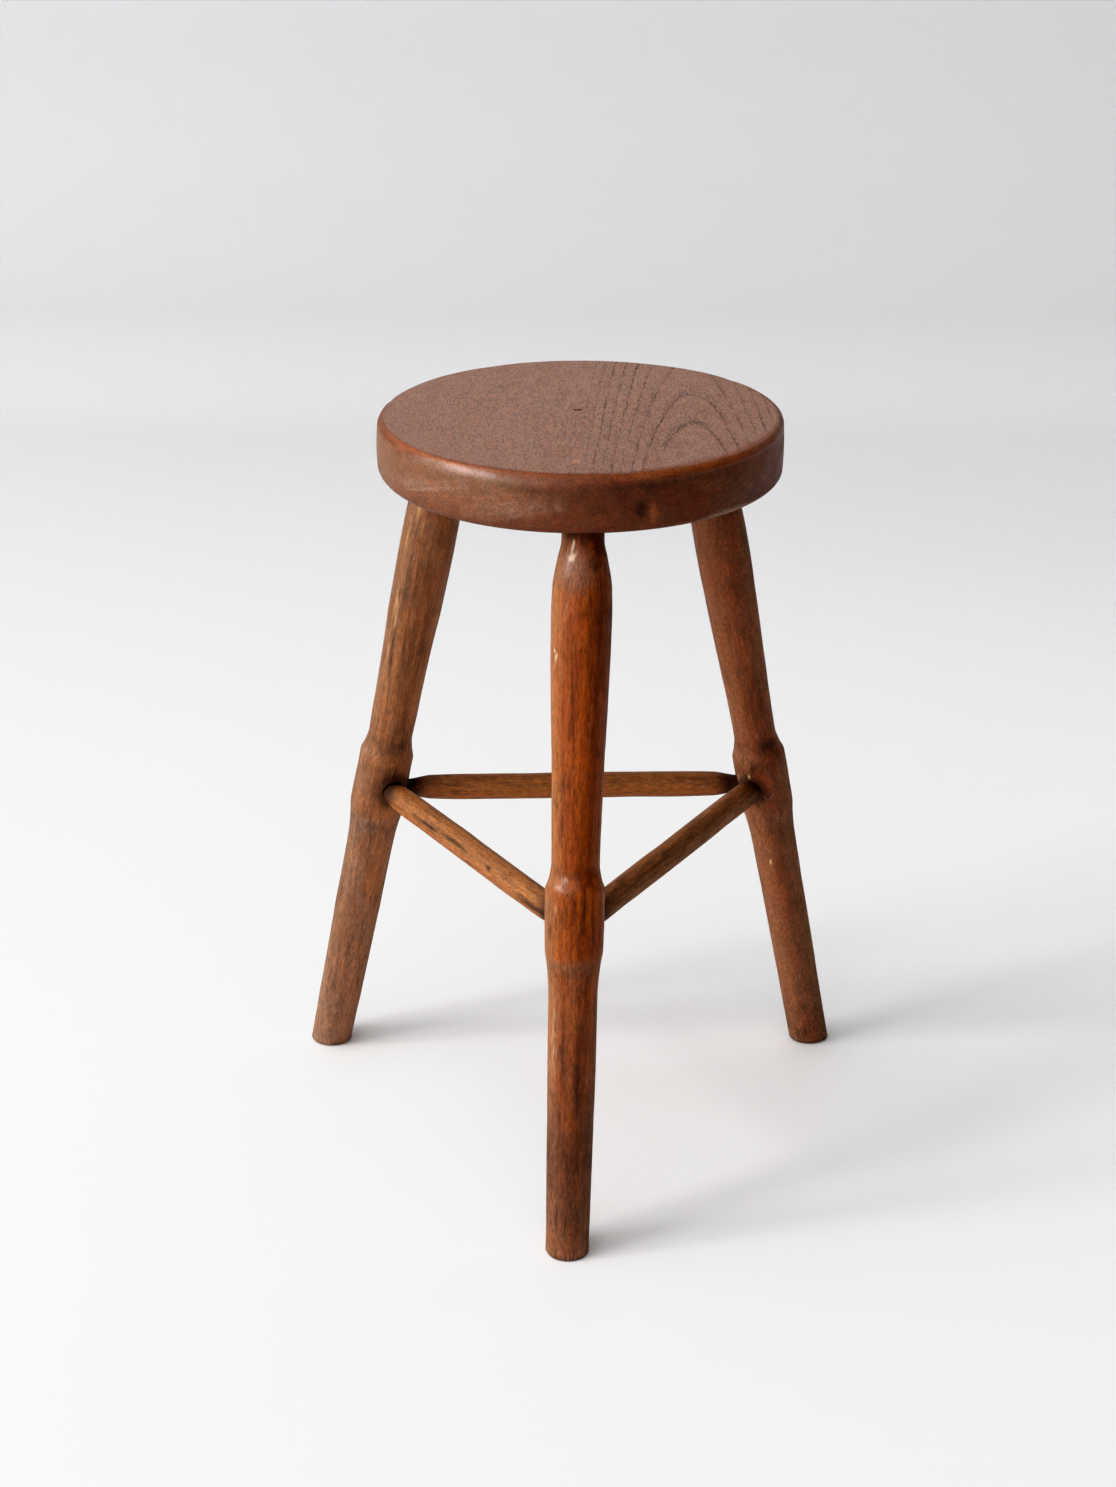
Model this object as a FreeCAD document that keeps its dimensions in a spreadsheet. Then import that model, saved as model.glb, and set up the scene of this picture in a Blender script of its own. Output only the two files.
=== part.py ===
import FreeCAD
import Part
import Sketcher
import math
import os

Vector = FreeCAD.Vector
upright = Vector(0, 0, 1)
side_share = 0.98  # most of an outline's straight side that its rounded ends may take

# Three legs are spread evenly round the seat's axis, and a stretcher faces each of them.
# The front leg stands towards -Y, and the origin is on the floor below the seat's centre.
legs = ["front_leg", "right_rear_leg", "left_rear_leg"]
stretchers = ["rear_stretcher", "left_stretcher", "right_stretcher"]
leg_spacing = 360 / len(legs)

# Driving sizes, in millimetres, with the splay in degrees.
sizes = {
    # The seat is one turned disc.
    "seat_height": 534.0,  # floor to the top of the seat
    "seat_diameter": 280.0,
    "seat_thickness": 38.0,
    "seat_top_round": 10.0,  # the upper edge, worn soft
    "seat_lower_round": 4.5,
    # The legs lean outwards from a ring of mortises in the seat's underside.
    "leg_splay": 12.3,  # degrees from upright
    "leg_inset": 34.6,  # rim of the seat to a leg's axis, at the underside
    "leg_tenon_diameter": 28.6,
    "leg_tenon_depth": 25.0,  # into the seat, along the leg
    "leg_tenon_bare": 16.0,  # cylinder left showing under the seat
    # Diameters of the turned leg, taken at the corners of its outline.
    "foot_diameter": 30.0,
    "ankle_diameter": 34.2,
    "swell_lower_diameter": 40.2,
    "swell_upper_diameter": 40.9,
    "neck_diameter": 32.0,
    "belly_diameter": 42.2,
    # Lengths along the leg: the swell is set out from the stretchers' level, the belly from the seat.
    "ankle_rise": 16.8,
    "swell_below": 16.0,
    "swell_above": 27.5,
    "neck_rise": 10.8,
    "belly_drop": 50.0,
    # Curves that soften those corners.
    "foot_round": 2.0,
    "ankle_round": 90.0,
    "swell_lower_round": 90.0,
    "swell_upper_round": 2.5,
    "neck_round": 45.0,
    "belly_round": 170.0,
    "leg_tenon_round": 15.0,
    # The stretchers are level, and all at one height.
    "stretcher_height": 223.0,  # floor to the stretchers' axes
    "stretcher_diameter": 18.6,
    "stretcher_taper": 28.0,  # length of the drawn-in end
    "stretcher_round": 250.0,  # curve from the shaft into that taper
    "stretcher_tenon_diameter": 12.7,
    "stretcher_tenon_bare": 0.5,  # tenon left showing beside the leg
    # Joints: round tenons glued into blind mortises.
    "glue_gap": 0.05,  # all round a tenon
    "mortise_web": 1.0,  # wood left between the two mortises that meet in a leg
}

# Sizes that follow from the driving ones.
worked_out = {
    "leg_circle": "Sizes.seat_diameter / 2 - Sizes.leg_inset",
    "underside": "Sizes.seat_height - Sizes.seat_thickness",
    "drop": "underside - Sizes.stretcher_height",
    # Along a leg, from the point where the stretchers' axes meet its own.
    "joint_to_seat": "drop / cos(Sizes.leg_splay)",
    "joint_to_floor": "Sizes.stretcher_height / cos(Sizes.leg_splay)",
    # That point's distance from the seat's axis, and half the distance between two legs there.
    "joint_radius": "leg_circle + drop * tan(Sizes.leg_splay)",
    "half_span": f"joint_radius * sin({leg_spacing / 2})",
    "stretcher_offset": f"joint_radius * cos({leg_spacing / 2})",
    # Outwards run of a leg between the stretchers' level and the floor.
    "foot_run": "Sizes.stretcher_height * tan(Sizes.leg_splay)",
    # Each stretcher leaves a leg at this angle to the line from the leg to the seat's axis.
    "stretcher_angle": f"90 - {leg_spacing / 2}",
    "leg_mortise_radius": "Sizes.leg_tenon_diameter / 2 + Sizes.glue_gap",
    "stretcher_mortise_radius": "Sizes.stretcher_tenon_diameter / 2 + Sizes.glue_gap",
    # From a leg's axis to the bottom of a stretcher's mortise, where the two still miss each other.
    "mortise_floor": "(stretcher_mortise_radius * cos(stretcher_angle) + Sizes.mortise_web / 2)"
    " / sin(stretcher_angle)",
    # From a leg's axis to where a stretcher is clear of the leaning leg all round.
    "swell_radius": "Sizes.swell_lower_diameter / 2"
    " + (Sizes.swell_upper_diameter - Sizes.swell_lower_diameter) / 2"
    " * Sizes.swell_below / (Sizes.swell_below + Sizes.swell_above)",
    "leg_flank": "swell_radius / cos(Sizes.leg_splay)"
    " + stretcher_mortise_radius * tan(Sizes.leg_splay) * cos(stretcher_angle)",
}

doc = FreeCAD.newDocument("tripod_stool")


def fill_sheet(name, cells, prefix):
    sheet = doc.addObject("Spreadsheet::Sheet", name)
    for row, (alias, content) in enumerate(cells.items(), start=1):
        sheet.set(f"A{row}", alias)
        sheet.set(f"B{row}", f"{prefix}{content}")
        sheet.setAlias(f"B{row}", alias)
    doc.recompute()
    return sheet


sheet = fill_sheet("Sizes", sizes, "")
fill_sheet("Worked", worked_out, "=")


def number(expression):
    return float(sheet.evalExpression(expression))


def origin_feature(body, role):
    return next(f for f in body.Origin.OriginFeatures if f.Role == role)


def new_body(label):
    body = doc.addObject("PartDesign::Body", label)
    body.Label = label
    return body


def bind(sketch, constraint, expression):
    index = sketch.addConstraint(constraint)
    sketch.setExpression(f"Constraints[{index}]", expression)


def place_corner(sketch, side, x, y):
    # The corner is where this side starts; one that lies on an axis of the sketch stays on it.
    for direction, expression, axis in (("DistanceX", x, -2), ("DistanceY", y, -1)):
        if expression == "0":
            sketch.addConstraint(Sketcher.Constraint("PointOnObject", side, 1, axis))
        else:
            constraint = Sketcher.Constraint(direction, -1, 1, side, 1, number(expression))
            bind(sketch, constraint, expression)


def round_corner(sketch, side, radius):
    # A tangent arc replaces the end of this side, and the corner stays as a point.
    sketch.fillet(side, 2, number(radius), True, True)
    arc = sketch.GeometryCount - 2
    bind(sketch, Sketcher.Constraint("Radius", arc, number(radius)), radius)


def fitted_roundings(points, roundings):
    # Where a side is too short for the arcs at both its ends, those arcs share what there is.
    count = len(points)
    taken = []
    for i, rounding in enumerate(roundings):
        back = points[i - 1] - points[i]
        ahead = points[(i + 1) % count] - points[i]
        half_turn = (math.pi - back.getAngle(ahead)) / 2
        taken.append(number(rounding) * math.tan(half_turn) if rounding else 0)
    shares = []
    for i in range(count):
        wanted = taken[i] + taken[(i + 1) % count]
        length = points[i].distanceToPoint(points[(i + 1) % count])
        shares.append(min(1, side_share * length / wanted) if wanted else 1)
    fitted = []
    for i, rounding in enumerate(roundings):
        share = min(shares[i - 1], shares[i])
        fitted.append(f"{rounding} * {share}" if rounding and share < 1 else rounding)
    return fitted


def draw_outline(body, name, plane, corners):
    # A closed outline through corners of (x, y, rounding), each an expression of the sizes.
    sketch = body.newObject("Sketcher::SketchObject", name)
    sketch.AttachmentSupport = [(origin_feature(body, plane), "")]
    sketch.MapMode = "FlatFace"
    points = [Vector(number(x), number(y), 0) for x, y, rounding in corners]
    sides = []
    for start, end in zip(points, points[1:] + points[:1]):
        sides.append(sketch.addGeometry(Part.LineSegment(start, end), False))
    for side, following in zip(sides, sides[1:] + sides[:1]):
        sketch.addConstraint(Sketcher.Constraint("Coincident", side, 2, following, 1))
    for side, (x, y, rounding) in zip(sides, corners):
        place_corner(sketch, side, x, y)
    roundings = fitted_roundings(points, [rounding for x, y, rounding in corners])
    for side, rounding in zip(sides, roundings[1:]):
        if rounding:
            round_corner(sketch, side, rounding)
    doc.recompute()
    return sketch


def turn(body, kind, name, sketch, axis):
    # A full turn of the outline about one of its sketch's own axes.
    feature = body.newObject(kind, name)
    feature.Profile = sketch
    feature.ReferenceAxis = (sketch, [axis])
    feature.Angle = 360
    doc.recompute()
    return feature


def require_less(after, before):
    if after.Shape.Volume >= before.Shape.Volume:
        raise ValueError(f"{after.Name} takes nothing away")


def tilt(sketch, angle):
    sketch.AttachmentOffset = FreeCAD.Placement(Vector(), upright, number(angle))
    sketch.setExpression("AttachmentOffset.Rotation.Angle", angle)


def build_seat():
    # The body's origin is the centre of the seat's underside.
    body = new_body("seat")
    rim = "Sizes.seat_diameter / 2"
    section = draw_outline(
        body,
        "seat_section",
        "XZ_Plane",
        [
            ("0", "0", ""),
            (rim, "0", "Sizes.seat_lower_round"),
            (rim, "Sizes.seat_thickness", "Sizes.seat_top_round"),
            ("0", "Sizes.seat_thickness", ""),
        ],
    )
    disc = turn(body, "PartDesign::Revolution", "seat_disc", section, "V_Axis")

    # One blind mortise is bored at the front leg's lean, starting below the underside, and
    # repeated for the others.
    bore = draw_outline(
        body,
        "seat_mortise_section",
        "YZ_Plane",
        [
            ("0", "-Worked.leg_mortise_radius", ""),
            ("Worked.leg_mortise_radius", "-Worked.leg_mortise_radius", ""),
            ("Worked.leg_mortise_radius", "Sizes.leg_tenon_depth", ""),
            ("0", "Sizes.leg_tenon_depth", ""),
        ],
    )
    tilt(bore, "-Sizes.leg_splay")
    bore.setExpression("AttachmentOffset.Base.x", "-Worked.leg_circle")
    mortise = turn(body, "PartDesign::Groove", "seat_mortise", bore, "V_Axis")
    require_less(mortise, disc)
    ring = body.newObject("PartDesign::PolarPattern", "seat_mortises")
    ring.Originals = [mortise]
    ring.Axis = (origin_feature(body, "Z_Axis"), [""])
    ring.Angle = 360
    ring.Occurrences = len(legs)
    body.Tip = ring
    doc.recompute()
    require_less(ring, mortise)
    body.setExpression("Placement.Base.z", "Worked.underside")
    return body


def build_leg(label, angle):
    # The body's origin is where the leg's axis meets those of its two stretchers, and +Y there
    # looks towards the seat's axis.
    body = new_body(label)

    # The outline runs up the leg's axis, from below the floor to the end of the tenon.
    swell_foot = "-Sizes.swell_below"
    below_floor = "-Worked.joint_to_floor - Sizes.foot_diameter * tan(Sizes.leg_splay)"
    tenon_root = "Worked.joint_to_seat - Sizes.leg_tenon_bare"
    tenon_end = "Worked.joint_to_seat + Sizes.leg_tenon_depth"
    outline = draw_outline(
        body,
        f"{label}_outline",
        "YZ_Plane",
        [
            ("0", below_floor, ""),
            ("Sizes.foot_diameter / 2", below_floor, ""),
            ("Sizes.ankle_diameter / 2", f"{swell_foot} - Sizes.ankle_rise", "Sizes.ankle_round"),
            ("Sizes.swell_lower_diameter / 2", swell_foot, "Sizes.swell_lower_round"),
            ("Sizes.swell_upper_diameter / 2", "Sizes.swell_above", "Sizes.swell_upper_round"),
            ("Sizes.neck_diameter / 2", "Sizes.swell_above + Sizes.neck_rise", "Sizes.neck_round"),
            ("Sizes.belly_diameter / 2", "Worked.joint_to_seat - Sizes.belly_drop", "Sizes.belly_round"),
            ("Sizes.leg_tenon_diameter / 2", tenon_root, "Sizes.leg_tenon_round"),
            ("Sizes.leg_tenon_diameter / 2", tenon_end, ""),
            ("0", tenon_end, ""),
        ],
    )
    tilt(outline, "-Sizes.leg_splay")
    spindle = turn(body, "PartDesign::Revolution", f"{label}_spindle", outline, "V_Axis")

    # Two level mortises meet near the axis, one for each stretcher, with a web between them.
    mouth = "2 * Worked.leg_flank"
    bore = draw_outline(
        body,
        f"{label}_mortise_section",
        "XY_Plane",
        [
            ("Worked.mortise_floor", "0", ""),
            (mouth, "0", ""),
            (mouth, "Worked.stretcher_mortise_radius", ""),
            ("Worked.mortise_floor", "Worked.stretcher_mortise_radius", ""),
        ],
    )
    tilt(bore, "90 - Worked.stretcher_angle")
    mortise = turn(body, "PartDesign::Groove", f"{label}_mortise", bore, "H_Axis")
    require_less(mortise, spindle)
    pair = body.newObject("PartDesign::Mirrored", f"{label}_mortise_pair")
    pair.Originals = [mortise]
    pair.MirrorPlane = (origin_feature(body, "YZ_Plane"), [""])
    body.Tip = pair
    doc.recompute()
    require_less(pair, mortise)

    # The foot is sawn level with the floor, and its edge is worn round.
    floor_level = "-Sizes.stretcher_height"
    waste_depth = f"{floor_level} - Sizes.foot_diameter"
    waste_out = "-Worked.foot_run - Sizes.foot_diameter"
    waste_in = "-Worked.foot_run + Sizes.foot_diameter"
    waste = draw_outline(
        body,
        f"{label}_foot_waste",
        "YZ_Plane",
        [
            (waste_out, waste_depth, ""),
            (waste_in, waste_depth, ""),
            (waste_in, floor_level, ""),
            (waste_out, floor_level, ""),
        ],
    )
    sawn = body.newObject("PartDesign::Pocket", f"{label}_sawn_foot")
    sawn.Profile = waste
    sawn.SideType = "Symmetric"
    sawn.setExpression("Length", "2 * Sizes.foot_diameter")
    doc.recompute()
    require_less(sawn, pair)
    worn = body.newObject("PartDesign::Fillet", f"{label}_worn_foot")
    worn.Base = (sawn, [lowest_edge(sawn.Shape)])
    worn.setExpression("Radius", "Sizes.foot_round")
    doc.recompute()

    stand_round(body, angle, "-Worked.joint_radius")
    return body


def lowest_edge(shape):
    heights = [edge.BoundBox.ZMax for edge in shape.Edges]
    return f"Edge{heights.index(min(heights)) + 1}"


def build_stretcher(label, angle):
    # The body's origin is the middle of the stretcher, whose axis is X.
    body = new_body(label)
    shaft = "Sizes.stretcher_diameter / 2"
    tenon = "Sizes.stretcher_tenon_diameter / 2"
    tenon_end = "(Worked.half_span - Worked.mortise_floor)"
    tenon_root = "(Worked.half_span - Worked.leg_flank - Sizes.stretcher_tenon_bare)"
    taper_start = f"({tenon_root} - Sizes.stretcher_taper)"
    outline = draw_outline(
        body,
        f"{label}_outline",
        "XY_Plane",
        [
            (f"-{tenon_end}", "0", ""),
            (tenon_end, "0", ""),
            (tenon_end, tenon, ""),
            (tenon_root, tenon, ""),
            (taper_start, shaft, "Sizes.stretcher_round"),
            (f"-{taper_start}", shaft, "Sizes.stretcher_round"),
            (f"-{tenon_root}", tenon, ""),
            (f"-{tenon_end}", tenon, ""),
        ],
    )
    turn(body, "PartDesign::Revolution", f"{label}_spindle", outline, "H_Axis")
    stand_round(body, angle, "Worked.stretcher_offset")
    return body


def stand_round(body, angle, distance):
    # Turns a piece about the seat's axis and sets it out from it, at the stretchers' level.
    body.Placement = FreeCAD.Placement(Vector(), upright, angle)
    body.setExpression("Placement.Base.x", f"-({distance}) * sin({angle})")
    body.setExpression("Placement.Base.y", f"({distance}) * cos({angle})")
    body.setExpression("Placement.Base.z", "Sizes.stretcher_height")


pieces = [build_seat()]
for place, label in enumerate(legs):
    pieces.append(build_leg(label, place * leg_spacing))
for place, label in enumerate(stretchers):
    pieces.append(build_stretcher(label, place * leg_spacing))
doc.recompute()

for item in doc.Objects:
    if "Invalid" in item.State or "Error" in item.State:
        raise ValueError(f"{item.Label} did not build: {item.State}")
for piece in pieces:
    if piece.Shape.isNull() or not piece.Shape.isValid():
        raise ValueError(f"{piece.Label} has no valid shape")

os.makedirs("parts", exist_ok=True)
for piece in pieces:
    piece.Shape.exportStep(f"parts/{piece.Label}.step")
    box = piece.Shape.optimalBoundingBox(False)
    print(
        f"{piece.Label}: {piece.Shape.Volume / 1000:.1f} cm3,"
        f" x {box.XMin:.1f} to {box.XMax:.1f},"
        f" y {box.YMin:.1f} to {box.YMax:.1f},"
        f" z {box.ZMin:.1f} to {box.ZMax:.1f}"
    )
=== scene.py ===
import math

import bmesh
import bpy
import numpy as np
from mathutils import Matrix, Vector


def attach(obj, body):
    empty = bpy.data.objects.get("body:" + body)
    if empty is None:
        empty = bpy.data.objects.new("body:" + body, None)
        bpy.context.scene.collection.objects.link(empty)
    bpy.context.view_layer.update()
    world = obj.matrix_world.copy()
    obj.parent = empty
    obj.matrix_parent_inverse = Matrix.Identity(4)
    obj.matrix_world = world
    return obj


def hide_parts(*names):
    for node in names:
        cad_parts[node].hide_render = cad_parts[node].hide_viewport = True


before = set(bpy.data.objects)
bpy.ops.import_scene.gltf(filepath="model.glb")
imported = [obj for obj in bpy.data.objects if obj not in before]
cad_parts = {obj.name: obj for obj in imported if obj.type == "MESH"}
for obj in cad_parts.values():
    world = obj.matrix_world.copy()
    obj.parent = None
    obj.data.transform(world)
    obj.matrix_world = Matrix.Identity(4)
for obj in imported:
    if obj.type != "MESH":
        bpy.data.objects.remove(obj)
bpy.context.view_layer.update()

# Lengths are in metres unless a note says otherwise. Angles are in degrees, seen from above with +X as 0 for
# the seat. Round a leg or a stretcher, 0 is its outer or upper side.
mm = 0.001

scene = bpy.context.scene
# The photograph's firm blacks and pale floor: how bright each level of light is printed.
film = {"black": 0.012,
        "prints": ((0.02, 0.006), (0.05, 0.021), (0.1, 0.054), (0.2, 0.138), (0.4, 0.345), (0.6, 0.578),
                   (0.7, 0.712), (0.78, 0.832), (0.87, 0.906), (0.95, 0.95))}
scene.view_settings.view_transform = "Standard"
scene.view_settings.use_curve_mapping = True
tones = scene.view_settings.curve_mapping
tones.black_level = [film["black"]] * 3
for lit, printed in film["prints"]:
    tones.curves[3].points.new(lit, printed)
tones.update()

meshing = {"drillSides": 56, "sharpEdge": 48}


def smooth(low, high, value):
    t = np.clip((value - low) / (high - low), 0, 1)
    return t * t * (3 - 2 * t)


def hump(distance):
    return np.exp(-distance ** 2)


def ridge(value, strength, place, over):
    return strength * hump((value - place) / over)


def atLeast(least, mask):
    return least + (1 - least) * mask


def ramp(value, strength, low, high):
    return strength * smooth(low, high, value)


def nearest(angle):  # radians, folded to half a turn each way
    return (angle + math.pi) % (2 * math.pi) - math.pi


def towards(turn, angle, wide):  # 1 on the side at this angle, falling away round the piece
    return hump(nearest(turn - math.radians(angle)) / math.radians(wide))


# A soft oval on a turning: its place along, angle round, length, width and strength.
def blot(along, turn, radius, place, angle, long, wide, strength):
    aside = nearest(turn - math.radians(angle)) * radius / wide
    return strength * hump(aside) * hump((along - place) / long)


def ringAngles(count):
    return np.arange(count) * 2 * math.pi / count


def fromSrgb(red, green, blue):
    def straight(c):
        c /= 255
        return c / 12.92 if c <= 0.04045 else ((c + 0.055) / 1.055) ** 2.4
    return (straight(red), straight(green), straight(blue), 1.0)


# A few sines of unlike lengths, from -1 to 1, for handwork that is never quite even.
sines = {"count": 4, "seedStep": 1.7, "phaseStep": 2.3, "skew": 0.37, "height": 2.08}


def unevenness(seed, *ways):
    total = 0
    for turn in range(1, sines["count"] + 1):
        phase = seed * sines["seedStep"] + turn * sines["phaseStep"]
        run = sum(way * turn * (1 + sines["skew"] * i) for i, way in enumerate(ways))
        total = total + np.sin(run + phase) / turn
    return total / sines["height"]


def patches(seed, *ways):  # from 0 to 1
    return 0.5 + 0.5 * unevenness(seed, *ways)


# Half-diameters between the stations of a turning, with no overshoot at a crest or a hollow.
def turnedProfile(stations):
    at, size = np.array(list(stations)).T
    half = size / 2
    step = np.diff(at)
    rise = np.diff(half) / step
    slope = np.zeros_like(at)
    for i in range(1, len(at) - 1):
        if rise[i - 1] * rise[i] > 0:
            slope[i] = 2 / (1 / rise[i - 1] + 1 / rise[i])

    def radiusAt(place):
        i = np.clip(np.searchsorted(at, place) - 1, 0, len(step) - 1)
        t = np.clip((place - at[i]) / step[i], 0, 1)
        ends = half[i] * (1 + 2 * t) * (1 - t) ** 2 + half[i + 1] * t * t * (3 - 2 * t)
        return ends + step[i] * (slope[i] * t * (1 - t) ** 2 - slope[i + 1] * t * t * (1 - t))
    return radiusAt


# Rings run from one tip to the other and each tip is closed with a fan.
def meshFromRings(name, rings, lowTip, highTip):
    count, around = rings.shape[:2]
    points = np.concatenate([[lowTip], rings.reshape(-1, 3), [highTip]])
    last = len(points) - 1
    faces = []
    for k in range(around):
        n = (k + 1) % around
        faces.append((0, 1 + n, 1 + k))
        for ring in range(count - 1):
            a = 1 + ring * around
            b = a + around
            faces.append((a + k, a + n, b + n, b + k))
        faces.append((last - around + k, last - around + n, last))
    mesh = bpy.data.meshes.new(name)
    mesh.from_pydata(points.tolist(), [], faces)
    mesh.update()
    piece = bpy.data.objects.new(name, mesh)
    scene.collection.objects.link(piece)
    return piece


# Blind round holes, each from a start to an end point with a radius.
def cutMortises(piece, holes):
    drill = bmesh.new()
    for start, end, radius in holes:
        way = Vector(end) - Vector(start)
        middle = (Vector(end) + Vector(start)) / 2
        turn = way.to_track_quat("Z", "Y").to_matrix().to_4x4()
        bmesh.ops.create_cone(drill, cap_ends=True, segments=meshing["drillSides"], radius1=radius,
                              radius2=radius, depth=way.length, matrix=Matrix.Translation(middle) @ turn)
    drillMesh = bpy.data.meshes.new("drill")
    drill.to_mesh(drillMesh)
    drill.free()
    cutter = bpy.data.objects.new("drill", drillMesh)
    scene.collection.objects.link(cutter)
    cut = piece.modifiers.new("mortises", "BOOLEAN")
    cut.operation = "DIFFERENCE"
    cut.solver = "EXACT"
    cut.object = cutter
    bpy.context.view_layer.update()
    holed = bpy.data.meshes.new_from_object(piece.evaluated_get(bpy.context.evaluated_depsgraph_get()))
    piece.modifiers.clear()
    whole = piece.data
    piece.data = holed
    holed.name = piece.name
    bpy.data.meshes.remove(whole)
    bpy.data.objects.remove(cutter)
    bpy.data.meshes.remove(drillMesh)


def pointsOf(piece):
    found = np.zeros(len(piece.data.vertices) * 3)
    piece.data.vertices.foreach_get("co", found)
    return found.reshape(-1, 3)


# What the finish reads at each point: its place in the tree, and how far each kind of wear and of painted
# light and shade goes.
def storeMarks(piece, grainPlace, **marks):
    layer = piece.data.attributes.new("grainPlace", "FLOAT_VECTOR", "POINT")
    layer.data.foreach_set("vector", np.asarray(grainPlace, np.float32).ravel())
    for label, values in marks.items():
        layer = piece.data.attributes.new(label, "FLOAT", "POINT")
        layer.data.foreach_set("value", np.clip(values, 0, 1).astype(np.float32))


# Node helpers. A value that is a socket is linked, anything else is set.
def feed(tree, node, inputs):
    for label, value in inputs.items():
        if isinstance(value, bpy.types.NodeSocket):
            tree.links.new(value, node.inputs[label])
        else:
            node.inputs[label].default_value = value


def put(tree, kind, inputs=None, **settings):
    node = tree.nodes.new(kind)
    for key, value in settings.items():
        setattr(node, key, value)
    feed(tree, node, inputs or {})
    return node


def calc(tree, operation, *values, clamp=False):
    node = put(tree, "ShaderNodeMath", dict(enumerate(values)), operation=operation, use_clamp=clamp)
    return node.outputs[0]


def spread(tree, value, fromLow, fromHigh, toLow=0.0, toHigh=1.0):
    node = put(tree, "ShaderNodeMapRange", {0: value, 1: fromLow, 2: fromHigh, 3: toLow, 4: toHigh},
               interpolation_type="SMOOTHSTEP")
    return node.outputs[0]


def blend(tree, amount, under, over, how="MIX"):
    node = put(tree, "ShaderNodeMix", {0: amount, 6: under, 7: over}, data_type="RGBA", blend_type=how)
    return node.outputs[2]


def stretched(tree, place, across, along):
    scales = put(tree, "ShaderNodeCombineXYZ", {0: across, 1: across, 2: along}).outputs[0]
    return put(tree, "ShaderNodeVectorMath", {0: place, 1: scales}, operation="MULTIPLY").outputs[0]


# Noise from 0 to 1, with its own scale across the grain and along it.
def cloud(tree, place, across, along, detail=2.0, roughness=0.55, distortion=0.0):
    node = put(tree, "ShaderNodeTexNoise", {
        "Vector": stretched(tree, place, across, along), "Scale": 1.0, "Detail": detail,
        "Roughness": roughness, "Distortion": distortion})
    return node.outputs[0]


# The same for a group's own scale, drawn out along the grain by a share of it.
def drawnCloud(tree, given, label, share, **look):
    return cloud(tree, given["Place"], given[label], calc(tree, "MULTIPLY", given[label], share), **look)


def newGroup(name, inputs, outputs):
    group = bpy.data.node_groups.new(name, "ShaderNodeTree")
    group.interface.new_socket("Place", in_out="INPUT", socket_type="NodeSocketVector")
    for label, value in inputs.items():
        socket = group.interface.new_socket(label, in_out="INPUT", socket_type="NodeSocketFloat")
        socket.default_value = value
    for label in outputs:
        group.interface.new_socket(label, in_out="OUTPUT", socket_type="NodeSocketFloat")
    return group, group.nodes.new("NodeGroupInput").outputs, group.nodes.new("NodeGroupOutput")


# Growth rings round a pith line that drifts along the grain: open pores, and the tone across each ring.
def makeGrowthRings():
    tree, given, out = newGroup("growthRings", {
        "Pith Across": 0.0, "Pith Deep": 0.0, "Drift Across": 0.0, "Drift Deep": 0.0, "Spacing": 0.005,
        "Shift": 0.0, "Core": 0.0, "Wobble": 0.004, "Jag": 0.0006, "Line Width": 0.12, "Tail Width": 0.3,
        "Dash Across": 900.0, "Dash Along": 90.0, "Fade Start": 0.5, "Fade End": 0.6, "Fade Rest": 1.0},
        ["Pores", "Bands"])
    place = given["Place"]

    def swing(across, along, **look):  # noise from -0.5 to 0.5
        return calc(tree, "SUBTRACT", cloud(tree, place, across, along, **look), 0.5)

    x, y, z = put(tree, "ShaderNodeSeparateXYZ", {0: place}).outputs
    squares = []
    for point, way in ((x, "Across"), (y, "Deep")):
        pith = calc(tree, "MULTIPLY_ADD", z, given["Drift " + way], given["Pith " + way])
        off = calc(tree, "SUBTRACT", point, pith)
        squares.append(calc(tree, "MULTIPLY", off, off))
    away = calc(tree, "SQRT", calc(tree, "ADD", *squares))
    wavy = calc(tree, "MULTIPLY_ADD", swing(across=210.0, along=60.0), 0.35, swing(across=26.0, along=9.0))
    torn = swing(across=520.0, along=130.0, detail=3.0, roughness=0.65)
    grown = calc(tree, "MULTIPLY_ADD", wavy, given["Wobble"], calc(tree, "ADD", away, given["Shift"]))
    grown = calc(tree, "MULTIPLY_ADD", torn, given["Jag"], grown)
    ring = calc(tree, "DIVIDE", grown, given["Spacing"])
    phase = calc(tree, "FRACT", ring)
    number = calc(tree, "FLOOR", calc(tree, "ADD", ring, 0.5))
    strength = put(tree, "ShaderNodeTexWhiteNoise", {"W": number}, noise_dimensions="1D").outputs["Value"]
    edge = calc(tree, "PINGPONG", phase, 0.5)  # 0 on the ring line
    line = spread(tree, calc(tree, "DIVIDE", edge, given["Line Width"]), 0.2, 1.0, 1.0, 0.0)
    tail = spread(tree, calc(tree, "DIVIDE", phase, given["Tail Width"]), 0.0, 1.0, 1.0, 0.0)
    short = cloud(tree, place, given["Dash Across"], given["Dash Along"], roughness=0.6)
    comes = spread(tree, cloud(tree, place, across=90.0, along=26.0), 0.36, 0.60, 0.45, 1.0)
    broken = calc(tree, "MULTIPLY", line, spread(tree, short, 0.38, 0.56, 0.15, 1.0))
    strewn = calc(tree, "MULTIPLY", tail, spread(tree, short, 0.5, 0.62, 0.0, 0.75))
    near = spread(tree, away, given["Fade Start"], given["Fade End"], 1.0, given["Fade Rest"])
    pastCore = spread(tree, calc(tree, "SUBTRACT", away, given["Core"]), 0.0, 0.0015)
    near = calc(tree, "MULTIPLY", near, pastCore)
    kept = calc(tree, "MULTIPLY", calc(tree, "MULTIPLY_ADD", strength, 0.5, 0.5), near)
    pores = calc(tree, "MULTIPLY", calc(tree, "MAXIMUM", broken, strewn), calc(tree, "MULTIPLY", kept, comes))
    soft = spread(tree, calc(tree, "SUBTRACT", 1.0, phase), 0.35, 1.0)  # darkest just past each line
    feed(tree, out, {"Pores": pores, "Bands": calc(tree, "MULTIPLY", soft, near)})
    return tree


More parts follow.
